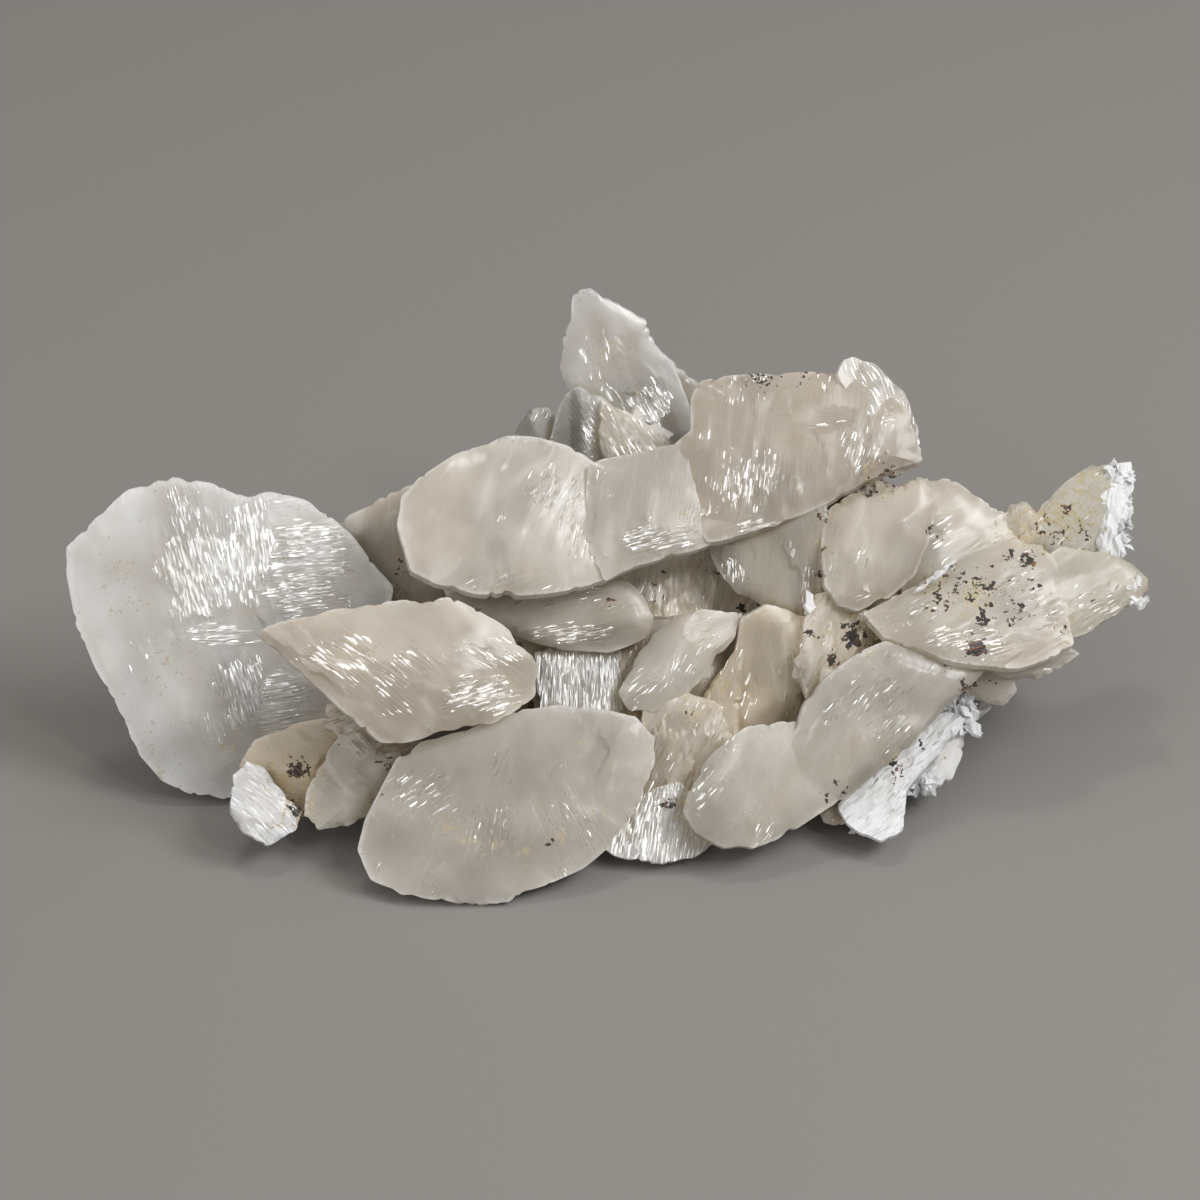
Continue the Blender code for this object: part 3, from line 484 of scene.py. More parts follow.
def hackle(places, cell, seed):
    """The height of small flat chips, each tilted its own way, in cells of a given size."""
    spots = places / cell
    home = np.floor(spots).astype(np.int64)
    nearest = np.full(len(spots), np.inf)
    height = np.zeros(len(spots))
    for step in np.ndindex(3, 3):
        cells = home + np.array(step) - 1
        keys = lifted(cells, seed)
        gap = spots - cells - np.stack((chance(keys, 1), chance(keys, 2)), axis=1)
        away = (gap ** 2).sum(axis=1)
        tilt = np.stack((chance(keys, 3), chance(keys, 4)), axis=1) - 0.5
        level = (gap * tilt).sum(axis=1) + 0.4 * (chance(keys, 5) - 0.5)
        height = np.where(away < nearest, level, height)
        nearest = np.minimum(nearest, away)
    return height


def smooth_step(low, high, value):
    part = np.clip((value - low) / (high - low), 0, 1)
    return part * part * (3 - 2 * part)


# ---------------------------------------------------------------- where crystals sit

def show_point(across, up, deep):
    """The place, in millimetres, of a point of the show view at a depth behind its middle."""
    widening = 1 + deep / SHOW_DISTANCE
    sideways = (across * ACROSS + up * UPWARD) * widening
    return SHOW_MIDDLE + sideways + deep * INWARD


EYE = show_point(0, 0, -SHOW_DISTANCE)

Crystal = namedtuple(
    "Crystal", "number rim facing along over front back profile finish bold patches facets fine")


def shown_crystal(number, item):
    """A shown crystal laid on its leaning plane, with its striations' way along that plane."""
    middle_across, middle_up = np.mean(item.outline, axis=0).tolist()
    middle = show_point(middle_across, middle_up, item.depth)
    facing = (item.right * ACROSS + item.up * UPWARD - INWARD).normalized()

    def on_plane(across, up):
        sight = show_point(across, up, 0) - EYE
        return EYE + (middle - EYE).dot(facing) / sight.dot(facing) * sight

    def way(slant):
        angle = math.radians(slant)
        ahead = on_plane(middle_across + math.cos(angle), middle_up + math.sin(angle))
        return np.array((ahead - on_plane(middle_across, middle_up)).normalized())

    along = way(item.slant)
    patches = [(way(patch[0]), patch[1:3], patch[3:5], patch[5]) for patch in item.patches]
    rim = np.array([on_plane(*point) for point in item.outline])
    over = np.cross(along, np.array(facing))

    def on_face(slant):
        toward = way(slant)
        return np.array((toward @ over, toward @ along))

    facets = [(on_face(slant), start, slope) for slant, start, slope in FACETS.get(item.name, ())]
    return Crystal(number, rim, np.array(facing), along, over, item.front, item.back,
                   item.profile, item.finish, item.bold, patches, facets, True)


def oval_radius(angle, number):
    """A gentle unevenness of an oval's rim, other on each crystal."""
    wave = math.sin(3 * angle + number) + 0.6 * math.sin(5 * angle + 2.3 * number)
    return 1 + OVAL_WAVE * wave


def hidden_crystal(number, item):
    """A hidden crystal's oval on its plane, with its striations lengthwise."""
    compass = math.radians(item.compass)
    height = math.radians(item.height)
    turn = math.radians(item.turn)
    level = math.cos(height)
    facing = Vector((math.cos(compass) * level, math.sin(compass) * level, math.sin(height)))
    side = Vector((0, 0, 1)).cross(facing).normalized()
    rise = facing.cross(side)
    rim = []
    for step in range(OVAL_POINTS):
        angle = math.tau * step / OVAL_POINTS
        radius = oval_radius(angle, number)
        thinning = 1 - OVAL_POINTEDNESS * math.cos(angle) ** 2
        far = 0.5 * item.length * radius * math.cos(angle)
        wide = 0.5 * item.width * radius * thinning * math.sin(angle)
        sideways = far * math.cos(turn) - wide * math.sin(turn)
        upward = far * math.sin(turn) + wide * math.cos(turn)
        rim.append(Vector(item.middle) + sideways * side + upward * rise)
    along = np.array(side * math.cos(turn) + rise * math.sin(turn))
    over = np.cross(along, np.array(facing))
    return Crystal(number, np.array(rim), np.array(facing), along, over, item.out, item.back,
                   item.profile, item.finish, item.bold, [], (), False)


def all_crystals():
    crystals = [hidden_crystal(number, item) for number, item in enumerate(HIDDEN)]
    crystals += [shown_crystal(number, item) for number, item in enumerate(SHOWN, len(HIDDEN))]
    return crystals


# ---------------------------------------------------------------- flat shapes on a plane

def plane_places(crystal, points):
    """Points in the crystal's own flat measure: over its striations, and along them."""
    from_middle = points - crystal.rim.mean(axis=0)
    return np.stack((from_middle @ crystal.over, from_middle @ crystal.along), axis=1)


def flat_points(crystal, places):
    """The points of the crystal's plane at places in its flat measure."""
    middle = crystal.rim.mean(axis=0)
    return middle + places[:, :1] * crystal.over + places[:, 1:] * crystal.along


def crest_of(rim):
    """The two ends of the line down the middle of an outline, toward which it shrinks."""
    middle = rim.mean(axis=0)
    arms = rim - middle
    far = arms[np.argmax(np.linalg.norm(arms, axis=1))]
    along = far / np.linalg.norm(far)
    over = np.array((-along[1], along[0]))
    lengthwise = arms @ along
    widthwise = arms @ over
    half = 0.5 * CREST_SHARE * max(np.ptp(lengthwise) - np.ptp(widthwise), 0)
    centre = middle + 0.5 * (lengthwise.max() + lengthwise.min()) * along
    return centre - half * along, centre + half * along


def roots_on_crest(places, crest):
    line = crest[1] - crest[0]
    reach = line @ line
    if reach < 1e-9:
        return np.broadcast_to(crest[0], places.shape)
    part = np.clip((places - crest[0]) @ line / reach, 0, 1)
    return crest[0] + part[:, None] * line


def rim_shares(places, rim, crest):
    """How far each place lies on its way from the crest, at 0, to the rim, at 1."""
    roots = roots_on_crest(places, crest)
    ways = places - roots
    starts = rim[None]
    edges = np.roll(rim, -1, axis=0)[None] - starts
    gap = starts - roots[:, None]
    turn = ways[:, None, 0] * edges[..., 1] - ways[:, None, 1] * edges[..., 0]
    turn = np.where(np.abs(turn) < 1e-9, 1e-9, turn)
    reach = (gap[..., 0] * edges[..., 1] - gap[..., 1] * edges[..., 0]) / turn
    part = (gap[..., 0] * ways[:, None, 1] - gap[..., 1] * ways[:, None, 0]) / turn
    reach = np.where((part >= -1e-6) & (part <= 1 + 1e-6) & (reach > 0.98), reach, np.inf)
    return np.clip(1 / reach.min(axis=1), 0, 1)


def inside(places, rim):
    """Which places lie inside a closed outline."""
    starts = rim[None]
    ends = np.roll(rim, -1, axis=0)[None]
    x = places[:, None, 0]
    y = places[:, None, 1]
    straddles = (starts[..., 1] > y) != (ends[..., 1] > y)
    rise = np.where(starts[..., 1] == ends[..., 1], 1e-9, ends[..., 1] - starts[..., 1])
    crossing = starts[..., 0] + (y - starts[..., 1]) / rise * (ends[..., 0] - starts[..., 0])
    return (straddles & (x < crossing)).sum(axis=1) % 2 == 1


def rim_distances(places, rim):
    starts = rim[None]
    edges = np.roll(rim, -1, axis=0)[None] - starts
    gap = places[:, None] - starts
    part = np.clip((gap * edges).sum(-1) / np.maximum((edges ** 2).sum(-1), 1e-12), 0, 1)
    return np.linalg.norm(gap - part[..., None] * edges, axis=-1).min(axis=1)


def soften(rim, cut):
    """Each corner cut off at a share of its sides, which rounds an outline a little."""
    after = np.roll(rim, -1, axis=0)
    pairs = np.stack((rim + cut * (after - rim), after - cut * (after - rim)), axis=1)
    return pairs.reshape(-1, 2)


def resample(rim, spacing):
    closed = np.vstack((rim, rim[:1]))
    lengths = np.concatenate(((0,), np.cumsum(np.linalg.norm(np.diff(closed, axis=0), axis=1))))
    count = max(int(lengths[-1] / spacing), 12)
    marks = np.linspace(0, lengths[-1], count, endpoint=False)
    return np.stack([np.interp(marks, lengths, closed[:, axis]) for axis in (0, 1)], axis=1)


# ---------------------------------------------------------------- fine meshes

FINE_GRID = (0.53, 0.86)
COARSE_GRID = (1.10, 1.55)
RIM_ROUNDING = {"lens": 0.05, "slab": 0.02, "ledge": 0.03}
SCALLOP_SIZE = 7.5
SCALLOP_DEPTH = 0.55
NOTCH_SIZE = 1.7
NOTCH_DEPTH = 0.60
CLEAN_RIM_SIZE = 4.5
LEAST_EDGE = 0.14


def fine_rim(crystal, spacing):
    """The outline with rounded corners, scallops and chips, all of them inward."""
    rim = soften(plane_places(crystal, crystal.rim), RIM_ROUNDING[crystal.profile])
    rim = resample(rim, spacing)
    roots = roots_on_crest(rim, crest_of(rim))
    arms = rim - roots
    arms /= np.linalg.norm(arms, axis=1)[:, None]
    spots = lifted(rim, 3.7 * crystal.number)
    lobes = 1 - 2 * np.abs(noise(spots / SCALLOP_SIZE, crystal.number))
    teeth = 1 - 2 * np.abs(noise(spots / NOTCH_SIZE, 50 + crystal.number))
    scallops = SCALLOP_DEPTH * np.clip(lobes, 0, 1) ** 2
    notches = NOTCH_DEPTH * np.clip(teeth, 0, 1) ** 1.5
    broken = smooth_step(-0.3, 0.5, noise(spots / CLEAN_RIM_SIZE, 80 + crystal.number))
    return rim - (scallops + broken * notches)[:, None] * arms


def facet_limit(crystal, places, rim, height, side):
    """Flat facets that cut a swollen face: the height under the lowest of a few planes."""
    facets = crystal.facets if side == 0 else ()
    if not facets:
        facets = chance_facets(crystal.number + 200 * side)
    limit = np.full(len(places), np.inf)
    middle = rim.mean(axis=0)
    for way, start, slope in facets:
        reach = ((rim - middle) @ way).max()
        past = np.clip((places - middle) @ way - start * reach, 0, None)
        limit = np.minimum(limit, height - slope * past)
    return limit


def chance_facets(seed):
    """Facets, by chance but always the same, for a crystal that has none of its own."""
    facets = []
    for order in range(CHANCE_FACETS):
        picks = [chance(np.array((seed, order, choice)), 9) for choice in range(3)]
        angle = math.tau * (order + 0.8 * picks[0]) / CHANCE_FACETS
        way = np.array((math.cos(angle), math.sin(angle)))
        facets.append((way, 0.3 + 0.35 * picks[1], 0.18 + 0.22 * picks[2]))
    return facets


PATCH_EDGE = (0.75, 1.15)
PATCH_RAGGEDNESS = 0.35
PATCH_TOOTH = 2.5
PATCH_SEED = 300


def boldness(crystal, places):
    """How bold the striations are at each place on the crystal."""
    bold = np.full(len(places), crystal.bold)
    for _, spot, spread, strength in crystal.patches:
        away = patch_distance(flat_points(crystal, places), spot, spread)
        bold = np.maximum(bold, strength * (1 - smooth_step(*PATCH_EDGE, away)))
    return bold


def patch_distance(points, spot, spread):
    """How far points lie from a patch's middle: 1 on its oval edge in the show view."""
    across, up, _ = show_places(points)
    return np.hypot((across - spot[0]) / spread[0], (up - spot[1]) / spread[1])


def show_places(points):
    """Across, up and depth in the show view of points in millimetres."""
    gap = points - np.array(SHOW_MIDDLE)
    deep = gap @ np.array(INWARD)
    widening = 1 + deep / SHOW_DISTANCE
    return gap @ np.array(ACROSS) / widening, gap @ np.array(UPWARD) / widening, deep


CHIP_CELL = (1.5, 4.0)
CLEAVAGE_CELL = (4.5, 9.0)
CLEAVAGE_HEIGHT = 0.55
GRAIN_CELL = (1.3, 1.5)
SWAY_HEIGHT = 0.18
SWAY_SIZE = 14
GROWTH_STEP = 0.10
GROWTH_CELL = (8, 26, 8)
RIDGE_HEIGHT = 0.12
RIDGE_CELL = (1.6, 24, 5)
BOLD_CHIPS = 0.28
BROKEN_SIZE = 12


def relief(crystal, places, share, side):
    """Swells, growth steps and striations of one face, fading out toward the rim."""
    spots = lifted(places, 7.3 * crystal.number + 41 * side)
    seed = 100 * side + crystal.number
    sway = SWAY_HEIGHT * noise(spots / SWAY_SIZE, seed)
    level = 2.0 * noise(spots / GROWTH_CELL, seed + 7)
    steps = GROWTH_STEP * (np.floor(level) + smooth_step(0.42, 0.58, level - np.floor(level)))
    ridges = 1 - 2 * np.abs(noise(spots / RIDGE_CELL, seed + 11))
    bold = boldness(crystal, places)
    depth = FINISHES[crystal.finish].chips
    chips = hackle(places, CHIP_CELL, seed) * (BOLD_CHIPS * bold ** 2 + depth)
    if crystal.finish == "snow":
        chips = depth * (hackle(places, GRAIN_CELL, seed) + hackle(places, CHIP_CELL, seed + 1))
    broken = smooth_step(-0.25, 0.35, noise(spots / BROKEN_SIZE, seed + 17))
    chips += CLEAVAGE_HEIGHT * broken * hackle(places, CLEAVAGE_CELL, seed + 19)
    fade = 1 - share ** 8
    return fade * (sway + steps + RIDGE_HEIGHT * bold * ridges + chips)


def swollen(share, swell, profile):
    edge, power = profile
    return swell * (edge + (1 - edge) * (1 - share ** power))


def face_heights(crystal, places, share, rim, side):
    """Heights over the plane of the front, on side 0, or of the back, on side 1."""
    if side == 0:
        swell = crystal.front * FRONT_SHARE
        base = swollen(share, swell, PROFILES[crystal.profile])
        limit = facet_limit(crystal, places, rim, swell, side)
    else:
        base = swollen(share, crystal.back, BACK_PROFILE)
        limit = facet_limit(crystal, places, rim, crystal.back, side)
    height = np.minimum(base, limit) + relief(crystal, places, share, side)
    return np.maximum(height, LEAST_EDGE)


def grid_inside(rim, grid):
    low = rim.min(axis=0)
    high = rim.max(axis=0)
    over, along = np.meshgrid(np.arange(low[0], high[0], grid[0]),
                              np.arange(low[1], high[1], grid[1]))
    places = np.stack((over.ravel(), along.ravel()), axis=1)
    places = places[inside(places, rim)]
    return places[rim_distances(places, rim) > 0.45 * grid[0]]


def crystal_mesh(crystal):
    """One crystal as a closed fine mesh: a triangulated outline, its front and its back."""
    grid = FINE_GRID if crystal.fine else COARSE_GRID
    rim = fine_rim(crystal, grid[0])
    places = np.vstack((rim, grid_inside(rim, grid)))
    count = len(rim)
    edges = [(step, (step + 1) % count) for step in range(count)]
    result = geometry.delaunay_2d_cdt([Vector(place) for place in places], edges, [], 1, 1e-5)
    places = np.array([tuple(vertex) for vertex in result[0]])
    faces = np.array([face for face in result[2] if len(face) == 3])
    share = rim_shares(places, rim, crest_of(rim))
    share = np.where(rim_distances(places, rim) < 1e-4, 1, share)
    flat = flat_points(crystal, places)
    front = flat + face_heights(crystal, places, share, rim, 0)[:, None] * crystal.facing
    back = flat - face_heights(crystal, places, share, rim, 1)[:, None] * crystal.facing
    return closed_mesh(front, back, faces, crystal.number)


def closed_mesh(front, back, faces, number):
    """A mesh of two matching faces and the wall between their rims."""
    size = len(front)
    sides = np.vstack((faces[:, (0, 1)], faces[:, (1, 2)], faces[:, (2, 0)]))
    known = set(map(tuple, sides))
    wall = np.array([side for side in known if (side[1], side[0]) not in known])
    walls = np.vstack((
        np.column_stack((wall[:, 1], wall[:, 0], wall[:, 0] + size)),
        np.column_stack((wall[:, 1], wall[:, 0] + size, wall[:, 1] + size))))
    skin = np.vstack((faces, faces[:, ::-1] + size, walls))
    points = np.vstack((front, back))
    corners = points[faces[0]]
    upward = np.cross(corners[1] - corners[0], corners[2] - corners[0])
    if upward @ (front[0] - back[0]) < 0:
        skin = skin[:, ::-1]
    return mesh_of(points, skin, number)


def mesh_of(points, faces, number):
    mesh = bpy.data.meshes.new("crystal")
    mesh.from_pydata((points * MM).tolist(), [], faces.tolist())
    tag = mesh.attributes.new("crystal", "INT", "FACE")
    tag.data.foreach_set("value", np.full(len(faces), number, dtype=np.int32))
    return mesh


# ---------------------------------------------------------------- crumbs

RHOMB_SLANT = 0.22
CRUMB_SHAPE = np.array((1.25, 0.85, 0.50))
CRUMB_UNEVENNESS = 0.25
CRUMB_TUMBLE = 0.22
CRUMB_FIRST = 1000


def crumb_meshes():
    """Small cleavage rhombs, seeded, along seams and on broken ends."""
    dice = np.random.default_rng(7)
    cube = np.array([(x, y, z) for x in (-1, 1) for y in (-1, 1) for z in (-1, 1)], dtype=float)
    sides = np.array(((0, 1, 3, 2), (4, 6, 7, 5), (0, 4, 5, 1), (2, 3, 7, 6), (0, 2, 6, 4),
                      (1, 5, 7, 3)))
    faces = np.vstack((sides[:, (0, 1, 2)], sides[:, (0, 2, 3)]))
    slant = np.eye(3) + RHOMB_SLANT * (np.ones((3, 3)) - np.eye(3))
    to_view = (-INWARD).to_track_quat("Z", "Y")
    for order, crumbs in enumerate(CRUMBS):
        for _ in range(crumbs.count):
            spot = np.array(crumbs.middle) + dice.uniform(-1, 1, 3) * crumbs.spread
            middle = show_point(*spot.tolist())
            size = 0.5 * crumbs.size * CRUMB_SHAPE * dice.uniform(0.6, 1.3, 3)
            tumble = Quaternion((1, *dice.normal(0, CRUMB_TUMBLE, 3))).normalized()
            spin = Quaternion((0, 0, 1), dice.uniform(0, math.tau))
            turn = (to_view @ tumble @ spin).to_matrix()
            uneven = cube * (1 + CRUMB_UNEVENNESS * dice.uniform(-1, 1, cube.shape))
            points = (uneven * size) @ slant @ np.array(turn).T + np.array(middle)
            yield mesh_of(points, faces, CRUMB_FIRST + order)


# ---------------------------------------------------------------- joining

CUT_SIZE = 400


def place_object(name, data):
    """A new object in the scene's own collection."""
    item = bpy.data.objects.new(name, data)
    bpy.context.scene.collection.objects.link(item)
    return item


def add_boolean(item, operation, **settings):
    modifier = item.modifiers.new(operation, "BOOLEAN")
    modifier.operation = operation
    modifier.solver = "MANIFOLD"
    for name, value in settings.items():
        setattr(modifier, name, value)


def joined_mesh(crystals):
    """All crystals and crumbs in one closed mesh, cut off flat on the resting plane."""
    tools = bpy.data.collections.new("joining")
    bpy.context.scene.collection.children.link(tools)
    meshes = [crystal_mesh(crystal) for crystal in crystals] + list(crumb_meshes())
    first = place_object("crystal", meshes[0])
    for mesh in meshes[1:]:
        tools.objects.link(bpy.data.objects.new("crystal", mesh))
    cutter = base_cutter()
    add_boolean(first, "UNION", operand_type="COLLECTION", collection=tools)
    add_boolean(first, "DIFFERENCE", object=cutter)
    evaluated = first.evaluated_get(bpy.context.evaluated_depsgraph_get())
    joined = bpy.data.meshes.new_from_object(evaluated)
    for item in [first, cutter, *tools.objects]:
        bpy.data.objects.remove(item, do_unlink=True)
    bpy.data.collections.remove(tools)
    return joined


def base_cutter():
    block = bmesh.new()
    bmesh.ops.create_cube(block, size=CUT_SIZE * MM)
    bmesh.ops.translate(block, vec=(0, 0, -0.5 * CUT_SIZE * MM), verts=block.verts)
    mesh = bpy.data.meshes.new("base_cutter")
    block.to_mesh(mesh)
    block.free()
    return place_object("base_cutter", mesh)


def read_rows(items, field):
    """One three-number field of a mesh's items, as rows."""
    values = np.empty(3 * len(items))
    items.foreach_get(field, values)
    return values.reshape(-1, 3)


def read_numbers(items, field):
    """One whole-number field of a mesh's items."""
    values = np.empty(len(items), dtype=np.int32)
    items.foreach_get(field, values)
    return values


# ---------------------------------------------------------------- painted attributes

def dirt_density(across, up, deep, spots):
    density = np.zeros(len(across))
    for middle_across, middle_up, radius, strength in spots:
        away = np.hypot(across - middle_across, up - middle_up) / radius
        density = np.maximum(density, strength * np.exp(-0.9 * away ** 2))
    return density * (1 - smooth_step(DIRT_DEPTH, DIRT_DEPTH + DIRT_FADE, deep))


CLOUD_TINT = np.array((0.80, 1.0, 1.25))
CLOUDING = 0.20
BANDING = 0.06
BAND_CELL = (2.6, 22)
SPARKLE = 0.40
SPARKLE_SIZE = 5
CLOUD_SIZES = (11, 3)
VEIL_SIZE = 8
VEILING = 0.5
# Partly painted light: each crystal's thin rim is whitened, as frost on a broken edge and as light
# shining through it.
RIM_FROST_AND_LIGHT = 0.6
RIM_FROST_AND_LIGHT_SPAN = (0.94, 0.99)
WISP_COLOUR = np.array((0.86, 0.84, 0.80))
WISP_SHARE = 0.30
WISP_BEND = 1.4
WISP_CELL = (3.4, 15, 5)
WISP_WIDTH = 0.16


def wisps(flat, number):
    """Thin white veils that run with the striations, as shares from 0 to WISP_SHARE."""
    spots = lifted(flat, 9.1 * number)
    bend = WISP_BEND * noise(spots / 7, 51)
    drift = noise((spots + bend[:, None] * (1, 0, 0)) / WISP_CELL, 57)
    line = 1 - np.abs(drift) / WISP_WIDTH
    present = smooth_step(-0.10, 0.45, noise(spots / 6, 59))
    return WISP_SHARE * np.clip(line, 0, 1) * present


# Painted shade: points walled in by nearby crystal are darkened and warmed towards brown, like
# shadow in the hollows and seams.
HOLLOW_REACH = 9
HOLLOW_WAYS = 10
HOLLOW_START = 0.4
HOLLOW_PAINTED_SHADE = np.array((0.04, 0.11, 0.27))


def hollowness(mesh):
    """How walled in each point is: 0 in the open, 1 where all short looks around are blocked."""
    points = read_rows(mesh.vertices, "co")
    normals = read_rows(mesh.vertices, "normal")
    tree = BVHTree.FromPolygons(points.tolist(), [tuple(face.vertices) for face in mesh.polygons])
    starts = (points + HOLLOW_START * MM * normals).tolist()
    blocked = np.zeros(len(points))
    for order in range(HOLLOW_WAYS):
        height = 1 - (2 * order + 1) / HOLLOW_WAYS
        turn = 2.4 * order
        level = math.sqrt(1 - height ** 2)
        ways = normals + (level * math.cos(turn), level * math.sin(turn), height)
        ways /= np.maximum(np.linalg.norm(ways, axis=1), 1e-6)[:, None]
        for number, (start, way) in enumerate(zip(starts, ways.tolist())):
            distance = tree.ray_cast(start, way, HOLLOW_REACH * MM)[3]
            if distance is not None:
                blocked[number] += 1 - distance / (HOLLOW_REACH * MM)
    return blocked / HOLLOW_WAYS


def striation_places(crystal, points, centres):
    """Places over and along the striations that rule each corner, and how bold they are there.

    Each face follows one set of striations, the main ones or a patch's, so sets meet crisply.
    """
    middle = crystal.rim.mean(axis=0)
    over = np.broadcast_to(crystal.over, points.shape).copy()
    along = np.broadcast_to(crystal.along, points.shape).copy()
    bold = np.full(len(points), crystal.bold)
    best = np.zeros(len(points))
    for order, (way, spot, spread, strength) in enumerate(crystal.patches):
        seed = PATCH_SEED + crystal.number + 20 * order
        grip = patch_grip(centres, spot, spread, seed)
        takes = grip * strength > best
        best = np.where(takes, grip * strength, best)
        side = np.cross(way, crystal.facing)
        over[takes] = side
        along[takes] = way
        near = patch_grip(points[takes], spot, spread, seed)
        bold[takes] = np.maximum(crystal.bold, strength * smooth_step(0, 0.8, near))
    gap = points - middle
    return (gap * over).sum(1), (gap * along).sum(1), bold


def patch_grip(points, spot, spread, seed):
    """How far inside a patch's uneven edge each point lies."""
    ragged = PATCH_RAGGEDNESS * noise(points / PATCH_TOOTH, seed)
    return 1.05 - patch_distance(points, spot, spread) + ragged


# About half way between the way to the show view and the way to the window lamp.
GLINT_WAY = np.array((0.374, -0.511, 0.774))
CLEAVAGE_LEAN = 0.10
HIDDEN_LEAN = 0.20


def cleavage_way(crystal):
    """Which way the crystal's cleavage chips face: on shown ones, half way to the window."""
    keys = np.array([(crystal.number, axis, 5) for axis in range(3)])
    lean = 2 * chance(keys, 21) - 1
    if crystal.fine:
        return GLINT_WAY + CLEAVAGE_LEAN * lean
    return crystal.facing + HIDDEN_LEAN * lean


def paint(mesh, crystals):
    """Colour, with painted shade in hollows and thick middles and painted light at thin rims,
    striation places and dirt on every corner of the joined mesh.
    """
    points = read_rows(mesh.vertices, "co") / MM
    corners = read_numbers(mesh.loops, "vertex_index")
    sizes = read_numbers(mesh.polygons, "loop_total")
    corner_owner = np.repeat(read_numbers(mesh.attributes["crystal"].data, "value"), sizes)
    starts = np.concatenate(((0,), np.cumsum(sizes)[:-1]))
    centres = np.add.reduceat(points[corners], starts, axis=0) / sizes[:, None]
    corner_centre = np.repeat(centres, sizes, axis=0)
    at = points[corners]
    count = len(corners)
    colour = np.ones((count, 4), dtype=np.float32)
    lines = np.zeros((count, 3), dtype=np.float32)
    marks = np.zeros((count, 4), dtype=np.float32)
    across, up, deep = show_places(points)
    marks[:, 0] = dirt_density(across, up, deep, OXIDE)[corners]
    marks[:, 1] = dirt_density(across, up, deep, OCHRE)[corners]
    large, small = CLOUD_SIZES
    cloud = (rough_noise(points / large, 31) + 0.8 * rough_noise(points / small, 33, 2))[corners]
    veil = rough_noise(points / VEIL_SIZE, 37)[corners]
    sparkle = SPARKLE * smooth_step(0.05, 0.38, rough_noise(points / SPARKLE_SIZE, 43))[corners]
    hollow_shade = smooth_step(0.05, 0.75, hollowness(mesh))[corners]
    cleavage = np.zeros((count, 3), dtype=np.float32)
    for crystal in crystals:
        mine = corner_owner == crystal.number
        finish = FINISHES[crystal.finish]
        rim = plane_places(crystal, crystal.rim)
        share = rim_shares(plane_places(crystal, at[mine]), rim, crest_of(rim))
        core_shade = 1 - share[:, None] ** 2
        over, along, bold = striation_places(crystal, at[mine], corner_centre[mine])
        flat = np.column_stack((over, along))
        band = noise(lifted(flat / BAND_CELL, crystal.number), 47)
        clouds_and_painted_shade = 1 + (CLOUDING * cloud[mine] + BANDING * band)[:, None] * CLOUD_TINT
        # painted shade: darker in the thick middle, lighter toward the thin rim
        clouds_and_painted_shade -= core_shade * CORE_PAINTED_SHADE
        # painted shade in the hollows and between crystals
        clouds_and_painted_shade *= 1 - hollow_shade[mine, None] * HOLLOW_PAINTED_SHADE
        colour[mine, :3] = finish.colour * clouds_and_painted_shade
        wisp = wisps(flat, crystal.number)
        colour[mine, :3] += wisp[:, None] * (WISP_COLOUR - colour[mine, :3])
        colour[mine, 3] = finish.clarity * (1 + VEILING * veil[mine]) * (1 - 0.8 * wisp)
        outward = (at[mine] - crystal.rim.mean(axis=0)) @ crystal.facing
        bold = np.where(outward > 0, np.maximum(bold, sparkle[mine]), 0.5 * sparkle[mine])
        lines[mine] = lifted(flat, 10 * crystal.number)
        # partly painted light: the rim whitened as frost and as light shining through
        edge = smooth_step(*RIM_FROST_AND_LIGHT_SPAN, share)
        marks[mine, 2] = np.maximum(finish.frost, RIM_FROST_AND_LIGHT * edge)
        marks[mine, 3] = bold
        cleavage[mine] = cleavage_way(crystal)
    for order, crumbs in enumerate(CRUMBS):
        mine = corner_owner == CRUMB_FIRST + order
        finish = FINISHES[crumbs.finish]
        colour[mine, :3] = finish.colour
        colour[mine, 3] = finish.clarity
        lines[mine] = at[mine]
        marks[mine, 2] = finish.frost
        cleavage[mine] = GLINT_WAY
    add_corner_values(mesh, "cleavage", "FLOAT_VECTOR", "vector", cleavage)
    add_corner_values(mesh, "tint", "FLOAT_COLOR", "color", colour)
    add_corner_values(mesh, "lines", "FLOAT_VECTOR", "vector", lines)
    add_corner_values(mesh, "marks", "FLOAT_COLOR", "color", marks)


def add_corner_values(mesh, name, kind, field, values):
    attribute = mesh.attributes.new(name, kind, "CORNER")
    attribute.data.foreach_set(field, values.ravel())


# ---------------------------------------------------------------- material

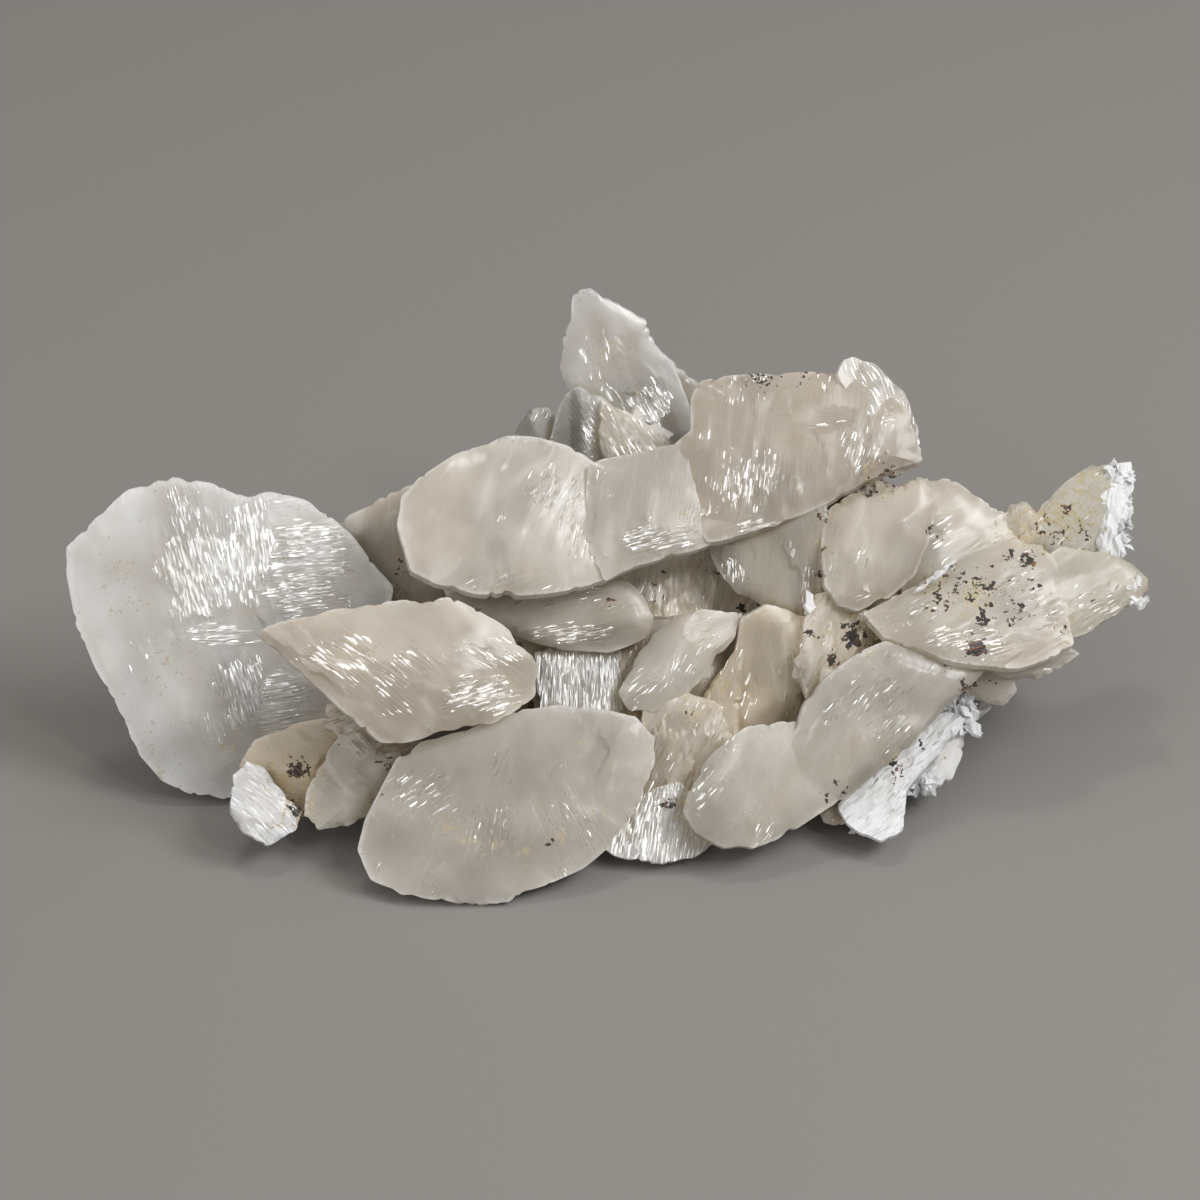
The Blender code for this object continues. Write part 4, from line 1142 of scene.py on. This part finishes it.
class Nodes:
    """Short calls that add and join shader nodes."""

    def __init__(self, tree):
        self.tree = tree

    def add(self, kind, **settings):
        node = self.tree.nodes.new(kind)
        for name, value in settings.items():
            setattr(node, name, value)
        return node

    def feed(self, socket, value):
        if isinstance(value, bpy.types.NodeSocket):
            self.tree.links.new(value, socket)
        else:
            socket.default_value = value

    def math(self, operation, *values):
        node = self.add("ShaderNodeMath", operation=operation)
        for socket, value in zip(node.inputs, values):
            self.feed(socket, value)
        return node.outputs[0]

    def mix(self, share, low, high):
        node = self.add("ShaderNodeMix", data_type="RGBA")
        self.feed(node.inputs["Factor"], share)
        self.feed(node.inputs["A"], low)
        self.feed(node.inputs["B"], high)
        return node.outputs["Result"]

    def span(self, value, low, high, bottom=0.0, top=1.0):
        node = self.add("ShaderNodeMapRange", interpolation_type="SMOOTHSTEP")
        for name, item in (("Value", value), ("From Min", low), ("From Max", high),
                           ("To Min", bottom), ("To Max", top)):
            self.feed(node.inputs[name], item)
        return node.outputs["Result"]

    def noise(self, vector, scale, detail=2.0, roughness=0.5):
        node = self.add("ShaderNodeTexNoise")
        self.feed(node.inputs["Vector"], vector)
        self.feed(node.inputs["Scale"], scale)
        self.feed(node.inputs["Detail"], detail)
        self.feed(node.inputs["Roughness"], roughness)
        return node.outputs["Fac"]

    def vector(self, operation, first, second):
        node = self.add("ShaderNodeVectorMath", operation=operation)
        self.feed(node.inputs[0], first)
        self.feed(node.inputs[1], second)
        return node.outputs[0]

    def stretched(self, vector, factors):
        return self.vector("MULTIPLY", vector, factors)

    def attribute(self, name):
        return self.add("ShaderNodeAttribute", attribute_name=name)

    def split(self, colour):
        node = self.add("ShaderNodeSeparateColor")
        self.feed(node.inputs[0], colour)
        return node.outputs[0], node.outputs[1], node.outputs[2]


OXIDE_DARK = (0.014, 0.009, 0.006, 1.0)
OXIDE_RUST = (0.15, 0.060, 0.022, 1.0)
OCHRE_COLOUR = (0.36, 0.28, 0.13, 1.0)
FROST_AND_GLINT_COLOUR = (0.70, 0.70, 0.70, 1.0)
GROOVE_SHADE_COLOUR = (0.46, 0.42, 0.36, 1.0)
SPECK_SCALE = 850
STREAK_STRETCH = (2.4, 0.20, 1.0)
CHIP_STRETCH = (4.2, 0.75, 1.0)
LINE_DEPTH = 0.0005
SATIN = 0.48
POLISH = 0.15
GLINT_START = 0.12
CHIP_UNEVENNESS = 0.27
GLASS_INDEX = 1.60
MIRROR_LEVEL = 1.0
GLAZE_SHARE = 0.20
GLAZE_ROUGHNESS = 0.12
MILK_SHARE = 0.6
MILK_REACH = 0.0040
MILK_COLOUR_REACH = (1.0, 0.95, 0.86)
HAZE_COLOUR = (0.80, 0.71, 0.58, 1.0)
HAZE_DENSITY = 45


def new_material(name):
    """A new material and its surface shader."""
    material = bpy.data.materials.new(name)
    material.use_nodes = True
    return material, material.node_tree.nodes["Principled BSDF"]


def calcite_material():
    """Milky calcite, with dirt, frost, white flecks, glinting chips, painted glint threads and
    painted shade in the striation grooves, where the mesh's attributes put them.
    """
    material, surface = new_material("calcite")
    tree = material.node_tree
    nodes = Nodes(tree)
    place = nodes.add("ShaderNodeTexCoord").outputs["Object"]
    tint = nodes.attribute("tint")
    lines = nodes.attribute("lines").outputs["Vector"]
    marks = nodes.attribute("marks")
    oxide, ochre, frost = nodes.split(marks.outputs["Color"])
    bold = marks.outputs["Alpha"]
    clarity = tint.outputs["Alpha"]

    streaks = nodes.noise(nodes.stretched(lines, STREAK_STRETCH), 1.0, 1, 0.6)
    # Partly painted highlight: white threads along bold striations stand in for glints, partly
    # white cleavage cracks.
    glint_threads = nodes.math("MULTIPLY", nodes.span(streaks, 0.54, 0.68),
                         nodes.math("ADD", bold, 0.14))
    white = nodes.math("MAXIMUM", nodes.math("MULTIPLY", glint_threads, 0.50),
                       nodes.math("MULTIPLY", frost, 0.7))
    # Painted shade: the grooves between bold striations are darkened.
    hollow_shade = nodes.math("MULTIPLY", nodes.span(streaks, 0.50, 0.38), bold)
    deep = nodes.mix(nodes.math("MULTIPLY", hollow_shade, 0.5), tint.outputs["Color"], GROOVE_SHADE_COLOUR)
    specks = nodes.noise(place, SPECK_SCALE, 2, 0.70)
    # White flecks, partly real specks and partly painted glints.
    flecks_and_glints = nodes.math("MULTIPLY", nodes.span(specks, 0.60, 0.72), 0.5)
    # Frost, flecks and the painted glint threads mixed in as one white.
    colour = nodes.mix(nodes.math("MAXIMUM", white, flecks_and_glints), deep, FROST_AND_GLINT_COLOUR)

    ochre_low = nodes.math("SUBTRACT", 0.67, nodes.math("MULTIPLY", ochre, 0.29))
    ochre_share = nodes.span(specks, ochre_low, nodes.math("ADD", ochre_low, 0.10))
    colour = nodes.mix(nodes.math("MULTIPLY", ochre_share, 0.7), colour, OCHRE_COLOUR)
    oxide_low = nodes.math("SUBTRACT", 0.80, nodes.math("MULTIPLY", oxide, 0.31))
    oxide_share = nodes.span(specks, oxide_low, nodes.math("ADD", oxide_low, 0.03))
    rust = nodes.span(streaks, 0.56, 0.66)
    colour = nodes.mix(oxide_share, colour, nodes.mix(rust, OXIDE_DARK, OXIDE_RUST))

    dull = nodes.math("MAXIMUM", oxide_share, nodes.math("MULTIPLY", ochre_share, 0.7))
    dull = nodes.math("MAXIMUM", dull, nodes.math("MULTIPLY", frost, 0.8))
    clear = nodes.math("MULTIPLY", clarity, nodes.math("SUBTRACT", 1.0, dull))
    glints, normal = chipped_normal(nodes, lines, bold, frost, streaks)
    polish = nodes.span(glints, 0.0, 1.0, SATIN, POLISH)
    gloss = nodes.math("ADD", nodes.math("MULTIPLY", dull, 0.55), polish)
    wet = nodes.math("MULTIPLY", nodes.math("SUBTRACT", 1.0, dull), GLAZE_SHARE)
    solid = nodes.math("MAXIMUM", oxide_share, nodes.math("MULTIPLY", frost, 0.85))
    milk = nodes.math("MULTIPLY", nodes.math("SUBTRACT", 1.0, solid), MILK_SHARE)
    surface.subsurface_method = "BURLEY"
    for name, value in (
            ("Base Color", colour), ("Transmission Weight", clear), ("Roughness", gloss),
            ("IOR", GLASS_INDEX), ("Specular IOR Level", MIRROR_LEVEL), ("Coat Weight", wet),
            ("Coat Roughness", GLAZE_ROUGHNESS), ("Subsurface Weight", milk),
            ("Subsurface Radius", MILK_COLOUR_REACH), ("Subsurface Scale", MILK_REACH),
            ("Normal", normal)):
        nodes.feed(surface.inputs[name], value)

    haze = nodes.add("ShaderNodeVolumeAbsorption")
    haze.inputs["Color"].default_value = HAZE_COLOUR
    haze.inputs["Density"].default_value = HAZE_DENSITY
    tree.links.new(haze.outputs[0], tree.nodes["Material Output"].inputs["Volume"])
    return material


def chipped_normal(nodes, lines, bold, frost, streaks):
    """Which spots glint, and a normal: long narrow cleavage chips there, nearly parallel."""
    cells = nodes.add("ShaderNodeTexVoronoi", voronoi_dimensions="2D")
    nodes.feed(cells.inputs["Vector"], nodes.stretched(lines, CHIP_STRETCH))
    cells.inputs["Scale"].default_value = 1.0
    luck = nodes.split(cells.outputs["Color"])[2]
    odds = nodes.span(bold, GLINT_START, 1.0, 0.0, 1.0)
    glints = nodes.span(nodes.math("SUBTRACT", odds, luck), 0.0, 0.08)
    uneven = nodes.vector("SUBTRACT", cells.outputs["Color"], (0.5, 0.5, 0.5))
    cleavage = nodes.vector("ADD", nodes.attribute("cleavage").outputs["Vector"],
                            nodes.vector("MULTIPLY", uneven, (CHIP_UNEVENNESS,) * 3))
    turned = nodes.add("ShaderNodeMix", data_type="VECTOR")
    nodes.feed(turned.inputs["Factor"], glints)
    nodes.feed(turned.inputs["A"], nodes.add("ShaderNodeNewGeometry").outputs["Normal"])
    nodes.feed(turned.inputs["B"], cleavage)
    grain = nodes.add("ShaderNodeVectorMath", operation="SCALE")
    nodes.feed(grain.inputs[0], uneven)
    nodes.feed(grain.inputs["Scale"], nodes.math("MULTIPLY", frost, 0.7))
    unit = nodes.add("ShaderNodeVectorMath", operation="NORMALIZE")
    nodes.feed(unit.inputs[0], nodes.vector("ADD", turned.outputs["Result"], grain.outputs[0]))
    bump = nodes.add("ShaderNodeBump")
    lined = nodes.math("MULTIPLY", streaks, nodes.math("ADD", nodes.math("MULTIPLY", bold, 0.5),
                                                       0.02))
    nodes.feed(bump.inputs["Height"], lined)
    bump.inputs["Distance"].default_value = LINE_DEPTH
    bump.inputs["Strength"].default_value = 1.0
    nodes.feed(bump.inputs["Normal"], unit.outputs[0])
    return glints, bump.outputs["Normal"]


# ---------------------------------------------------------------- stage

FLOOR_SIZE = 2.4
FLOOR_BEND = 0.35
FLOOR_BACK = 0.75
FLOOR_TOP = 1.6
FLOOR_STEPS = 24
FLOOR_COLOUR = (0.205, 0.195, 0.182, 1.0)
FLOOR_ROUGHNESS = 0.75


def make_floor():
    """A plain grey sheet that runs back from the cluster and bends up behind it."""
    sheet = bmesh.new()
    profile = [(-FLOOR_SIZE, 0.0)]
    for step in range(FLOOR_STEPS + 1):
        angle = 0.5 * math.pi * step / FLOOR_STEPS
        back = FLOOR_BACK + FLOOR_BEND * math.sin(angle)
        profile.append((back, FLOOR_BEND * (1 - math.cos(angle))))
    profile.append((FLOOR_BACK + FLOOR_BEND, FLOOR_TOP))
    rows = [[sheet.verts.new((x, y, z)) for x in (-FLOOR_SIZE, FLOOR_SIZE)] for y, z in profile]
    for near, far in zip(rows, rows[1:]):
        sheet.faces.new((near[0], near[1], far[1], far[0]))
    mesh = bpy.data.meshes.new("floor")
    sheet.to_mesh(mesh)
    sheet.free()
    mesh.shade_smooth()
    material, surface = new_material("floor")
    surface.inputs["Base Color"].default_value = FLOOR_COLOUR
    surface.inputs["Roughness"].default_value = FLOOR_ROUGHNESS
    mesh.materials.append(material)
    floor = place_object("floor", mesh)


# Square lamps, in metres and watts, all turned to one point in the cluster.
Lamp = namedtuple("Lamp", "name place size power colour")

LAMPS = (
    Lamp("window", (0.60, -0.10, 0.70), 0.36, 5.3, (0.97, 0.98, 1.0)),
    Lamp("spark", (0.42, -0.40, 0.75), 0.12, 1.2, (1.0, 1.0, 1.0)),
    Lamp("spark_top", (-0.10, 0.25, 0.90), 0.12, 1.2, (1.0, 1.0, 1.0)),
    Lamp("fill", (-0.65, -0.55, 0.60), 0.9, 2.9, (1.0, 0.98, 0.96)),
)
LAMP_TARGET = Vector((0, 0, 0.02))
WORLD_COLOUR = (0.90, 0.88, 0.86, 1.0)
WORLD_STRENGTH = 0.60


def make_light():
    for item in LAMPS:
        data = bpy.data.lights.new(item.name, "AREA")
        data.shape = "RECTANGLE"
        data.size = data.size_y = item.size
        data.energy = item.power
        data.color = item.colour
        lamp = place_object(item.name, data)
        lamp.location = item.place
        way = LAMP_TARGET - Vector(item.place)
        lamp.rotation_euler = way.to_track_quat("-Z", "Y").to_euler()
    world = bpy.data.worlds.new("studio")
    world.use_nodes = True
    sky = world.node_tree.nodes["Background"]
    sky.inputs["Color"].default_value = WORLD_COLOUR
    sky.inputs["Strength"].default_value = WORLD_STRENGTH
    bpy.context.scene.world = world


SENSOR_WIDTH = 36

# Few bounces keep the final render short.
LIGHT_BOUNCES = {"max_bounces": 3, "diffuse_bounces": 1, "glossy_bounces": 1,
                 "transmission_bounces": 2}


def limit_bounces():
    for name, count in LIGHT_BOUNCES.items():
        setattr(bpy.context.scene.cycles, name, count)


def make_camera():
    data = bpy.data.cameras.new("show_camera")
    data.sensor_width = SENSOR_WIDTH
    data.lens = SENSOR_WIDTH * SHOW_DISTANCE / SHOW_FRAME_WIDTH
    camera = place_object("show_camera", data)
    camera.location = MM * (EYE - BASE_MIDDLE)
    camera.rotation_euler = INWARD.to_track_quat("-Z", "Y").to_euler()
    bpy.context.scene.camera = camera


# ---------------------------------------------------------------- the cluster

SHARP_ANGLE = math.radians(20)
BOX_MARGIN = 0.00003


def keep_in_box(mesh):
    """Points that lie outside the solids' box moved just inside it."""
    low, high = np.array(CAD_BOX)
    points = read_rows(mesh.vertices, "co")
    points = np.clip(points, low + (BOX_MARGIN, BOX_MARGIN, 0), high - BOX_MARGIN)
    mesh.vertices.foreach_set("co", points.ravel())
    mesh.update()


def make_cluster():
    crystals = all_crystals()
    mesh = joined_mesh(crystals)
    paint(mesh, crystals)
    mesh.attributes.remove(mesh.attributes["crystal"])
    mesh.transform(Matrix.Translation(-MM * BASE_MIDDLE))
    keep_in_box(mesh)
    mesh.shade_smooth()
    mesh.set_sharp_from_angle(angle=SHARP_ANGLE)
    mesh.materials.clear()
    mesh.materials.append(calcite_material())
    mesh.name = "crystal_cluster"
    cluster = place_object("crystal_cluster", mesh)
    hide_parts("calcite_cluster")
    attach(cluster, "root")


make_cluster()
make_floor()
make_light()
make_camera()
limit_bounces()
bpy.context.scene.view_settings.view_transform = "Standard"
